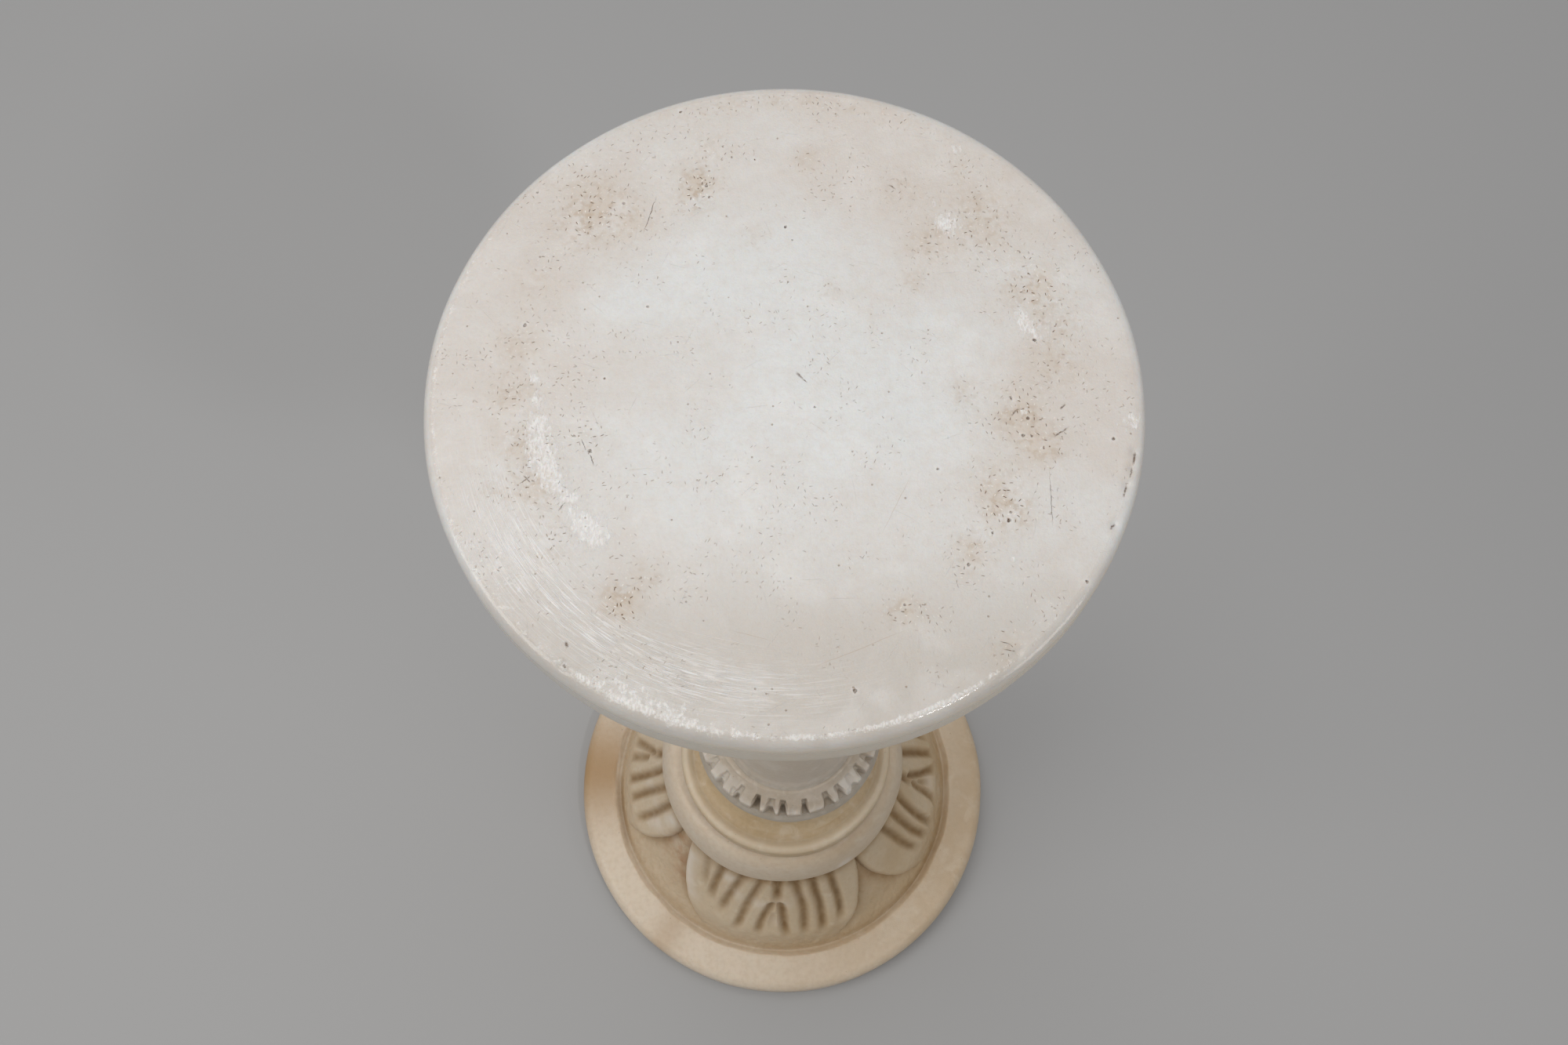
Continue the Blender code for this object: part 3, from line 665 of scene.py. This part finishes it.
def top_slab():
    """Round slab: flat top with worn, chipped arris, upright wall and rounded lower edge."""
    arris = SLAB_RADIUS - SLAB_ARRIS
    under = SLAB_RADIUS - SLAB_UNDERCUT
    lower = SLAB_BASE + SLAB_UNDERCUT
    profile = joined(
        [(0.0, SLAB_TOP)],
        line((6.0, SLAB_TOP), (100.0, SLAB_TOP), 1.5),
        line((100.0, SLAB_TOP), (arris, SLAB_TOP), 1.0),
        arc((arris, SLAB_TOP - SLAB_ARRIS_DROP), (SLAB_ARRIS, SLAB_ARRIS_DROP), 90, 0, 1.0),
        line((SLAB_RADIUS, SLAB_TOP - SLAB_ARRIS_DROP), (SLAB_RADIUS, lower), 2.2),
        arc((under, lower), (SLAB_UNDERCUT, SLAB_UNDERCUT), 0, -90, 1.5),
        line((under, SLAB_BASE), (60.0, SLAB_BASE), 30.0),
        [(0.0, SLAB_BASE)],
    )
    stone = turned("top_slab_stone", profile, SLAB_COLUMNS)
    azimuth, radius, height, points = measured(stone)
    upper = smooth((height - SLAB_TOP + SLAB_ARRIS_DROP) / SLAB_ARRIS_DROP)
    flat = smooth((height - SLAB_TOP + 0.6) / 0.6)
    edge = near(radius, arris + 0.5, 2.2) * upper
    nibbled = smooth(0.6 * lumps(points, 3.5, 71) + 0.6 * lumps(points, 9.0, 72) - 0.45)
    nibbled *= 0.35 + 0.65 * facing(azimuth, -38.0, 40.0)
    waves = 0.12 + 0.12 * lumps(points, 38.0, 73) * upper
    at_edge = [(x, y, 2.2, 1.0) for x, y, *_ in DARK_SCRATCHES if math.hypot(x, y) > EDGE_CHIPS_FROM]
    chips = np.minimum(spots(points, at_edge), 1.0) * edge
    down = waves * upper + edge * (0.15 + 0.5 * nibbled) + CHIP_DEPTH * chips
    side = smooth((radius - arris) / SLAB_ARRIS) * wear(points, 0.15, 30.0, 74)
    set_polar(stone, azimuth, radius - side - 0.5 * chips, height - down)

    ring = near(radius, 98.0, 22.0)
    pink = 0.55 * ring + 0.35 * smooth((radius - 108.0) / 15.0) + 0.3 * facing(azimuth, -100.0, 70.0)
    pink -= 0.5 * spots(points, WHITER)
    paint(stone, "pink", flat * (0.25 + pink + 0.2 * lumps(points, 26.0, 75)))
    paint(stone, "shade", upper * smooth((-points[:, 1] - 50.0) / 60.0))
    back_band = near(radius, arris - 4.0, 4.0) * facing(azimuth, 180.0, 30.0)
    paint(stone, "stain", flat * (0.9 * spots(points, STAINS) + 0.35 * back_band))
    # Whitish frosty wear along the arris, with a painted highlight on its line at the front right
    frost_and_glint = np.zeros(len(azimuth))
    for middle, spread, outside, wide, strength in FROST_AND_GLINT:
        frost_and_glint += strength * near(radius, arris + outside, wide) * facing(azimuth, middle, spread)
    paint(stone, "frost_and_glint", 0.72 * upper * np.minimum(frost_and_glint, 1.0))
    paint(stone, "scuff", upper * 0.74 * np.minimum(spots(points, SCUFFS), 1.0))
    zone = facing(azimuth, -54.0, 17.0) * near(radius, 115.0, 12.0)
    zone += facing(azimuth, -18.0, 22.0) * near(radius, 115.0, 10.0)
    paint(stone, "worn", flat * zone)
    paint(stone, "flat", flat)
    over_wall = smooth((height - SLAB_TOP + SLAB_ARRIS_DROP + 2.0) / 2.0)
    paint(stone, "arris", near(radius, arris + 2.5, 3.0) * over_wall)
    paint(stone, "low", smooth((lower + 5.0 - height) / 9.0))
    # Painted light on the right of the wall, with its cream tone; painted shade on the front of the wall,
    # warmer and a little darker
    wall = smooth((SLAB_TOP - 2.0 - height) / 4.0) * (radius > arris - 5.0)
    paint(stone, "cream_tone_and_light", wall * facing(azimuth, 58.0, 40.0))
    paint(stone, "dusky_tone_and_shade", wall * facing(azimuth, -2.0, 38.0))
    return stone


# Finishes

FACTOR, UNDER, OVER, MIXED = 0, 6, 7, 2  # sockets of a colour Mix node
NUMBERS = ("DOT_PRODUCT", "DISTANCE", "LENGTH")  # vector sums whose outcome is a number
REFRACTION = 1.52
TRANSLUCENCE = 0.25
SCATTER = (1.0, 0.62, 0.38)  # share of the depth for red, green and blue
SCATTER_DEPTH = 6.0
# A turned stone's light, base and warm colours, its colour of dirt and painted shade, its roughness and the
# size of its clouds
GOLDEN = ("#DCCFBA", "#C2AA85", "#CBB797", "#7C5E36", 0.42, 40.0)
PINK_GREY = ("#D9D0C4", "#C3B6A6", "#B8AA96", "#7B6544", 0.42, 25.0)
GREY = ("#DBD3C8", "#D1C6B8", "#C7BBAA", "#857560", 0.36, 70.0)


def linear(code):
    """Linear colour of an sRGB hex code."""
    parts = [int(code[i : i + 2], 16) / 255 for i in (1, 3, 5)]
    return (*[c / 12.92 if c <= 0.04045 else ((c + 0.055) / 1.055) ** 2.4 for c in parts], 1.0)


def add(tree, kind, inputs, **settings):
    """Adds a node with its settings. An input is a value, a socket or the name of a painted amount."""
    node = tree.nodes.new("ShaderNode" + kind)
    for name, value in settings.items():
        setattr(node, name, value)
    for socket, value in inputs.items():
        if isinstance(value, str):
            value = add(tree, "Attribute", {}, attribute_name=value).outputs["Fac"]
        if isinstance(value, bpy.types.NodeSocket):
            tree.links.new(value, node.inputs[socket])
        else:
            node.inputs[socket].default_value = value
    return node


def new_finish(name, roughness):
    """A new alabaster: its node tree, its shader and the place of each point on the pedestal."""
    material = bpy.data.materials.new(name)
    material.use_nodes = True
    tree = material.node_tree
    shader = tree.nodes["Principled BSDF"]
    shader.inputs["IOR"].default_value = REFRACTION
    shader.inputs["Metallic"].default_value = 0.0
    shader.inputs["Roughness"].default_value = roughness
    shader.inputs["Subsurface Weight"].default_value = TRANSLUCENCE
    shader.inputs["Subsurface Radius"].default_value = SCATTER
    shader.inputs["Subsurface Scale"].default_value = SCATTER_DEPTH * MM
    place = add(tree, "TexCoord", {}).outputs["Object"]
    return material, tree, shader, place


def maths(tree, operation, *values):
    """Outcome of a sum with numbers."""
    return add(tree, "Math", dict(enumerate(values)), operation=operation).outputs[0]


def vectors(tree, operation, *values):
    """Outcome of a sum with vectors."""
    node = add(tree, "VectorMath", dict(enumerate(values)), operation=operation)
    return node.outputs["Value" if operation in NUMBERS else "Vector"]


def mapped(tree, place, **settings):
    """The place, stretched or shifted."""
    return add(tree, "Mapping", {"Vector": place, **settings}).outputs[0]


def ramp(tree, value, none, full):
    """Mask that goes softly from 0 at one value to 1 at the other."""
    limits = {"Value": value, "From Min": none, "From Max": full}
    return add(tree, "MapRange", limits, interpolation_type="SMOOTHSTEP").outputs["Result"]


def noise(tree, place, size, **settings):
    """Noise whose lumps have that size."""
    return add(tree, "TexNoise", {"Vector": place, "Scale": 1 / (size * MM), **settings}).outputs


def clouds(tree, place, size, low, high, detail=4.0, warp=0.0):
    """Mask of soft clouds of that size: 0 where the noise is under low, 1 where it is over high."""
    return ramp(tree, noise(tree, place, size, Detail=detail, Distortion=warp)["Fac"], low, high)


def broken(tree, place, amount, size, raggedness, soft):
    """Painted mask with its edge broken up by noise of that size."""
    ragged = maths(tree, "ADD", noise(tree, place, size, Detail=6.0, Roughness=0.7)["Fac"], -0.5)
    total = maths(tree, "MULTIPLY_ADD", ragged, raggedness, amount)
    return ramp(tree, total, 0.5 - soft / 2, 0.5 + soft / 2)


def times(tree, *values):
    """Product of several masks or numbers."""
    product = values[0]
    for value in values[1:]:
        product = maths(tree, "MULTIPLY", product, value)
    return product


def sum_of(tree, *terms):
    """Sum of (value, factor) terms."""
    total = 0.0
    for value, factor in terms:
        total = maths(tree, "MULTIPLY_ADD", value, factor, total)
    return total


def cells_of(tree, place, size, dimensions):
    """Random cells of that size, and for each cell three random numbers of its own."""
    settings = {"Vector": place, "Scale": 1 / (size * MM)}
    cells = add(tree, "TexVoronoi", settings, voronoi_dimensions=dimensions).outputs
    return cells, add(tree, "SeparateColor", {"Color": cells["Color"]}).outputs


def specks(tree, place, cell, size, share):
    """Mask of small round pits, one in a share of the cells."""
    cells, pick = cells_of(tree, place, cell, "3D")
    dots = ramp(tree, cells["Distance"], size / cell, 0.4 * size / cell)
    return times(tree, dots, maths(tree, "LESS_THAN", pick["Red"], share))


def bar(tree, offset_along, offset_across, half_length, half_width):
    """Mask of a thin bar that thins out at its ends: both offsets from its middle are metres."""
    lengthwise = ramp(tree, maths(tree, "ABSOLUTE", offset_along), half_length, 0.3 * half_length)
    crosswise = ramp(tree, maths(tree, "ABSOLUTE", offset_across), half_width, 0.1 * half_width)
    return times(tree, lengthwise, crosswise)


def strokes(tree, place, cell, length, width, share):
    """Mask of short scratches on the slab's top, one in a share of the cells, each turned its own way."""
    cells, pick = cells_of(tree, place, cell, "2D")
    local = vectors(tree, "SUBTRACT", place, cells["Position"])
    turn = {"Vector": local, "Angle": times(tree, pick["Red"], math.tau)}
    turned_place = add(tree, "VectorRotate", turn, rotation_type="Z_AXIS").outputs[0]
    along, across, _ = add(tree, "SeparateXYZ", {"Vector": turned_place}).outputs
    chosen = maths(tree, "LESS_THAN", pick["Green"], share)
    return times(tree, bar(tree, along, across, length / 2 * MM, width / 2 * MM), chosen)


def marks(tree, place, scratches):
    """Mask of named scratches on the slab's top."""
    total = 0.0
    for x0, y0, x1, y1, width in scratches:
        start, end = Vector((x0, y0, 0.0)) * MM, Vector((x1, y1, 0.0)) * MM
        way = (end - start).normalized()
        offset = vectors(tree, "SUBTRACT", place, (start + end) / 2)
        along = vectors(tree, "DOT_PRODUCT", offset, way)
        across = vectors(tree, "DOT_PRODUCT", offset, (-way.y, way.x, 0.0))
        one = bar(tree, along, across, (end - start).length / 2 + width * MM / 2, width / 2 * MM)
        total = maths(tree, "MAXIMUM", total, one)
    return total


def nearest_pit(tree, place, pits):
    """Distance in millimetres to the edge of the nearest of several pits on the slab's top."""
    level = mapped(tree, place, Scale=(1 / MM, 1 / MM, 0.0))
    nearest = FAR
    for x, y, radius in pits:
        gap = maths(tree, "SUBTRACT", vectors(tree, "DISTANCE", level, (x, y, 0.0)), radius)
        nearest = maths(tree, "MINIMUM", gap, nearest)
    return nearest


def rubbed_round(tree, place, length, width, low, high):
    """Mask of streaks that run round the axis, of that length along the rim and that width."""
    level = mapped(tree, place, Scale=(1.0, 1.0, 0.0))
    around = add(tree, "TexGradient", {"Vector": level}, gradient_type="RADIAL").outputs["Fac"]
    lengthwise = times(tree, around, math.tau * SLAB_RADIUS / length)
    crosswise = times(tree, vectors(tree, "LENGTH", level), 1 / (width * MM))
    streaked = add(tree, "CombineXYZ", {"X": lengthwise, "Y": crosswise}).outputs[0]
    return clouds(tree, streaked, 1 / MM, low, high, detail=3.0)


def coats(tree, base, *layers):
    """Lays coats over a base colour, one after another: mask, strength, sRGB code."""
    colour = linear(base)
    for mask, strength, code in layers:
        mix = {FACTOR: times(tree, mask, strength), UNDER: colour, OVER: linear(code)}
        colour = add(tree, "Mix", mix, data_type="RGBA").outputs[MIXED]
    return colour


def wobbled(tree, place, size, amount):
    """The place, shifted a little by noise, so that lines and blots are not straight."""
    centred = vectors(tree, "SUBTRACT", noise(tree, place, size, Detail=2.0)["Color"], (0.5, 0.5, 0.5))
    return vectors(tree, "MULTIPLY_ADD", centred, (2.0 * amount * MM,) * 3, place)


def polished(tree, shader, colour, relief, depth, roughness):
    """Sets the colour, the relief, whose full height is the depth in millimetres, and the roughness."""
    bump = add(tree, "Bump", {"Height": relief, "Distance": depth * MM, "Strength": 1.0})
    tree.links.new(colour, shader.inputs["Base Color"])
    tree.links.new(bump.outputs["Normal"], shader.inputs["Normal"])
    tree.links.new(roughness, shader.inputs["Roughness"])


def white_alabaster():
    """Alabaster slab, worn smooth by use: milky white clouding to pinkish beige, brown soaked-in stains,
    dull white scuffs, fine scratches full of grime, and a shinier, combed patch at the front left; whitish
    frosty wear on the arris with a painted highlight along it at the front right, painted shade at the
    front, and painted light on the right of the wall."""
    material, tree, shader, place = new_finish("worn_white_alabaster", 0.38)
    bent = wobbled(tree, place, 9.0, 0.5)
    veil = clouds(tree, bent, 22.0, 0.45, 0.75, warp=0.6)
    mottle = clouds(tree, place, 5.0, 0.35, 0.75)
    fine_mottle = clouds(tree, place, 1.6, 0.42, 0.70)
    pink = sum_of(tree, (clouds(tree, place, 60.0, 0.40, 0.62), 0.5), ("pink", 0.7))
    soaked = times(tree, "stain", clouds(tree, bent, 9.0, 0.30, 0.62, detail=6.0))
    soaked_fine = times(tree, "stain", clouds(tree, bent, 2.4, 0.46, 0.66, detail=6.0))
    dragged = mapped(tree, bent, Scale=(1.5, 0.7, 1.0))
    chalky = sum_of(tree, (clouds(tree, dragged, 1.2, 0.38, 0.60, detail=6.0), 0.65), (1.0, 0.35))
    scuff = times(tree, broken(tree, dragged, "scuff", 2.6, 2.4, 0.45), chalky)
    # Whitish frosty wear on the arris, with a painted highlight on it at the front right
    frost_and_glint = times(tree, broken(tree, bent, "frost_and_glint", 2.4, 2.2, 0.40), chalky)
    pits = times(tree, specks(tree, place, 6.0, 0.45, 0.5), "flat")
    clustered = times(tree, clouds(tree, place, 15.0, 0.50, 0.66), "flat")
    fine_dark = times(tree, strokes(tree, bent, 10.0, 2.2, 0.32, 0.5), clustered)
    near_stain = sum_of(tree, ("stain", 1.6), (clustered, 0.55), ("flat", 0.06))
    curved = wobbled(tree, place, 14.0, 0.8)
    dirt_strokes = times(tree, strokes(tree, curved, 2.9, 1.6, 0.40, 0.55), near_stain)
    dirt_dots = times(tree, specks(tree, bent, 2.3, 0.42, 0.4), near_stain)
    shifted = mapped(tree, bent, Location=(0.0, 1.1 * MM, 0.0))
    pale_flecks = times(tree, strokes(tree, shifted, 2.7, 1.2, 0.45, 0.5), near_stain)
    fine_light = times(tree, strokes(tree, wobbled(tree, place, 30.0, 1.0), 21.0, 12.0, 0.22, 0.7), "flat")
    jagged = wobbled(tree, wobbled(tree, place, 9.0, 0.5), 2.2, 0.45)
    gritty = sum_of(tree, (clouds(tree, place, 0.9, 0.36, 0.60), 0.65), (1.0, 0.35))
    dark = times(tree, marks(tree, jagged, DARK_SCRATCHES), gritty)
    to_pit = nearest_pit(tree, wobbled(tree, jagged, 0.9, 0.55), PITS)
    pit_hollow = ramp(tree, to_pit, 0.05, -0.45)
    pit_rim = ramp(tree, to_pit, 1.30, 0.30)
    faint = marks(tree, bent, FAINT_SCRATCHES)
    light = marks(tree, wobbled(tree, place, 12.0, 0.7), LIGHT_SCRATCHES)
    combed = times(tree, rubbed_round(tree, place, 20.0, 0.5, 0.50, 0.62), "worn")
    streaks = times(tree, rubbed_round(tree, place, 11.0, 1.1, 0.52, 0.62), "worn")
    colour = coats(
        tree,
        "#D4D5D4",
        (pink, 1.0, "#CDC7C1"),
        ("shade", 0.9, "#B9B3AB"),
        (veil, 0.3, "#E0DFDD"),
        (mottle, 0.22, "#C6BBB0"),
        (fine_mottle, 0.10, "#B5A797"),
        (soaked, 0.48, "#B8A184"),
        (soaked_fine, 0.45, "#A28562"),
        (streaks, 0.34, "#E8E6E4"),
        (combed, 0.60, "#EAEAEB"),
        (fine_light, 0.4, "#E6E3DF"),
        (light, 0.5, "#ECEAE7"),
        (frost_and_glint, 0.70, "#E9E8E6"),
        (scuff, 0.72, "#ECEBEA"),
        (pale_flecks, 0.6, "#EAE6E0"),
        (faint, 0.55, "#A8927A"),
        (pit_rim, 0.14, "#EAE7E2"),
        (fine_dark, 0.6, "#92785C"),
        (dirt_strokes, 0.9, "#74583A"),
        (dirt_dots, 0.8, "#7C6042"),
        (pits, 0.55, "#8F7557"),
        (dark, 0.85, "#5E442B"),
        (times(tree, pit_hollow, gritty), 0.9, "#5A4129"),
        # painted light on the right of the wall and painted shade on its front, both with a warm tone
        ("cream_tone_and_light", 0.6, "#DCCBAE"),
        ("dusky_tone_and_shade", 0.45, "#D6C29C"),
        ("low", 0.28, "#B5A692"),
    )
    grain = clouds(tree, place, 0.8, 0.3, 0.7, detail=2.0)
    swell = clouds(tree, place, 9.0, 0.3, 0.7)
    relief = sum_of(
        tree, (grain, 0.08), (swell, 0.3), (scuff, 0.4), (frost_and_glint, 0.25), (combed, 0.3), (soaked_fine, -0.25),
        (pits, -0.9), (fine_dark, -0.6), (dirt_strokes, -0.7), (dirt_dots, -0.5), (fine_light, -0.25),
        (dark, -1.0), (pit_hollow, -1.6), (light, 0.2),
    )
    rough = sum_of(
        tree, ("flat", 0.08), (scuff, 0.25), (frost_and_glint, 0.10), (soaked_fine, 0.1), ("worn", -0.12),
        ("arris", -0.20), (1.0, 0.30),
    )
    polished(tree, shader, colour, relief, 0.25, rough)
    return material


def tan_alabaster():
    """Honey-tan alabaster, carved and worn: warm mottling, brown grime and painted shade in the hollows,
    paler worn crests with painted highlights, and painted light on the paler left side.
    """
    material, tree, shader, place = new_finish("carved_tan_alabaster", 0.5)
    bent = wobbled(tree, place, 12.0, 1.0)
    broad = clouds(tree, place, 55.0, 0.38, 0.66)
    milk = clouds(tree, bent, 17.0, 0.48, 0.70, warp=0.8)
    mottle = clouds(tree, place, 4.0, 0.35, 0.75)
    patchy = clouds(tree, bent, 7.0, 0.30, 0.65)
    reddened = times(tree, "reddened", clouds(tree, bent, 12.0, 0.30, 0.60))
    # Dirt and painted shade in the hollows, darkest where deepest
    dirt_and_shade = times(tree, "hollow", sum_of(tree, (patchy, 0.22), (1.0, 0.78)))
    deep = times(tree, "hollow", "hollow", clouds(tree, place, 9.0, 0.20, 0.60))
    rub = times(tree, clouds(tree, bent, 10.0, 0.60, 0.72), "leaf")
    pits = specks(tree, place, 6.0, 0.5, 0.3)
    colour = coats(
        tree,
        "#D0BEA5",
        (broad, 0.6, "#BFA684"),
        # painted light: the paler left side of the foot
        ("pale_and_lit", 1.0, "#DDCFBC"),
        (milk, 0.35, "#DCD0BC"),
        (mottle, 0.22, "#B79F80"),
        ("leaf", 0.32, "#C4AB7E"),
        ("ground", 0.40, "#B39667"),
        (reddened, 0.55, "#A8764F"),
        ("honey", 0.85, "#A5804F"),
        (rub, 0.35, "#DDD1BC"),
        # worn paler places, and painted highlights
        ("rubbed_and_highlit", 0.75, "#E6DCCF"),
        # dirt and painted shade in the hollows
        (dirt_and_shade, 0.80, "#88601C"),
        (deep, 0.45, "#60400C"),
        (pits, 0.4, "#7E6140"),
    )
    grain = clouds(tree, place, 0.9, 0.3, 0.7, detail=2.0)
    tooled = times(tree, clouds(tree, place, 2.6, 0.35, 0.7), "ground")
    relief = sum_of(tree, (grain, 0.12), (tooled, 0.5), (mottle, 0.2), (pits, -0.7))
    rough = sum_of(tree, ("hollow", 0.2), ("ground", 0.12), ("leaf", -0.04), (1.0, 0.44))
    polished(tree, shader, colour, relief, 0.3, rough)
    return material


def turned_alabaster(name, light, base, warm, dirt_and_shade_code, roughness, size):
    """Turned, polished alabaster: clouds of two tones, milky veils, fine pits, grime and painted shade in
    the hollows, and a painted highlight on the drum's lip.
    """
    material, tree, shader, place = new_finish(name, roughness)
    bent = wobbled(tree, place, 12.0, 1.0)
    broad = clouds(tree, place, size, 0.38, 0.64)
    milk = clouds(tree, bent, size / 3, 0.50, 0.70, warp=0.8)
    mottle = clouds(tree, place, 3.5, 0.35, 0.75)
    patchy = clouds(tree, bent, 5.0, 0.3, 0.65)
    # Dirt and painted shade in the hollows
    dirt_and_shade = times(tree, "hollow", sum_of(tree, (patchy, 0.4), (1.0, 0.6)))
    pits = specks(tree, place, 6.0, 0.45, 0.3)
    gold = times(tree, "gold", clouds(tree, bent, 9.0, 0.25, 0.6))
    colour = coats(
        tree,
        base,
        (broad, 0.75, warm),
        (milk, 0.45, light),
        (mottle, 0.12, dirt_and_shade_code),
        # crest: a painted highlight on the drum's lip, and paler top edges of the collar's teeth; bead:
        # greyer, partly painted shade
        ("crest", 0.6, light),
        ("bead", 0.5, "#9E998E"),
        (gold, 0.95, "#A07D40"),
        ("white", 0.7, "#E0DBD2"),
        (dirt_and_shade, 0.75, dirt_and_shade_code),
        (pits, 0.4, dirt_and_shade_code),
    )
    grain = clouds(tree, place, 0.8, 0.3, 0.7, detail=2.0)
    relief = sum_of(tree, (grain, 0.12), (mottle, 0.2), (pits, -0.7))
    rough = sum_of(tree, ("hollow", 0.2), (1.0, roughness))
    polished(tree, shader, colour, relief, 0.25, rough)
    return material


def floor_paint():
    """Plain matt studio floor."""
    material = bpy.data.materials.new("plain_pale_floor")
    material.use_nodes = True
    shader = material.node_tree.nodes["Principled BSDF"]
    shader.inputs["Base Color"].default_value = linear("#ACACAC")
    shader.inputs["Roughness"].default_value = 0.9
    return material


# Assembly


def dressed(stone, node, material):
    """Puts a finished stone in a node's place, on that node's own axis."""
    low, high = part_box(node)
    middle = (low + high) / 2
    stone.data.transform(Matrix.Translation((middle.x, middle.y, 0.0)))
    stone.data.materials.clear()
    stone.data.materials.append(material)
    bpy.ops.object.select_all(action="DESELECT")
    stone.select_set(True)
    bpy.context.view_layer.objects.active = stone
    bpy.ops.object.shade_smooth_by_angle(angle=math.radians(SMOOTH_ANGLE))
    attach(stone, "root")
    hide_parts(node)


def studio():
    """Pale floor and soft light from above, from the left and, smaller, from the front right."""
    bpy.ops.object.select_all(action="DESELECT")
    bpy.ops.mesh.primitive_plane_add(size=FLOOR_SIZE, location=(0.0, 0.0, 0.0))
    floor = bpy.context.object
    floor.name = "studio_floor"
    floor.data.materials.append(floor_paint())
    world = bpy.data.worlds.new("soft_room")
    bpy.context.scene.world = world
    world.use_nodes = True
    background = world.node_tree.nodes["Background"]
    background.inputs["Color"].default_value = linear("#F4F4F6")
    background.inputs["Strength"].default_value = ROOM_LIGHT
    for name, place, aim_height, size, power, code in LIGHTS:
        bpy.ops.object.light_add(type="AREA", location=place)
        light = bpy.context.object
        light.name = name
        light.data.size = size
        light.data.energy = power
        light.data.color = linear(code)[:3]
        light.visible_camera = False
        aim = Vector((0.0, 0.0, aim_height))
        light.rotation_euler = (aim - Vector(place)).to_track_quat("-Z", "Y").to_euler()


def camera():
    """Camera that looks down over the slab at the foot."""
    yaw, pitch, roll = (math.radians(angle) for angle in (CAMERA_YAW, CAMERA_PITCH, CAMERA_ROLL))
    forward = Vector((math.sin(yaw) * math.cos(pitch), math.cos(yaw) * math.cos(pitch), -math.sin(pitch)))
    level = Vector((math.cos(yaw), -math.sin(yaw), 0.0))
    upward = level.cross(forward)
    right = math.cos(roll) * level + math.sin(roll) * upward
    up = math.cos(roll) * upward - math.sin(roll) * level
    data = bpy.data.cameras.new("camera")
    data.lens = LENS
    data.sensor_width = SENSOR
    data.clip_start = NEAR_CLIP
    eye = bpy.data.objects.new("camera", data)
    bpy.context.scene.collection.objects.link(eye)
    place = Vector((0.0, -CAMERA_BEFORE_AXIS, SLAB_TOP * MM + CAMERA_OVER_SLAB))
    eye.matrix_world = Matrix.Translation(place) @ Matrix((right, up, -forward)).transposed().to_4x4()
    bpy.context.scene.camera = eye


camera()
dressed(leaf_foot(), "leaf_foot", tan_alabaster())
turned_stones = (
    (scotia_drum, "scotia_drum", "golden_alabaster", GOLDEN),
    (notched_collar, "notched_collar", "pink_grey_alabaster", PINK_GREY),
    (shaft, "shaft", "grey_alabaster", GREY),
)
for make, node, slot, looks in turned_stones:
    dressed(make(), node, turned_alabaster(slot, *looks))
dressed(top_slab(), "top_slab", white_alabaster())
studio()
bpy.context.scene.view_settings.view_transform = "Standard"
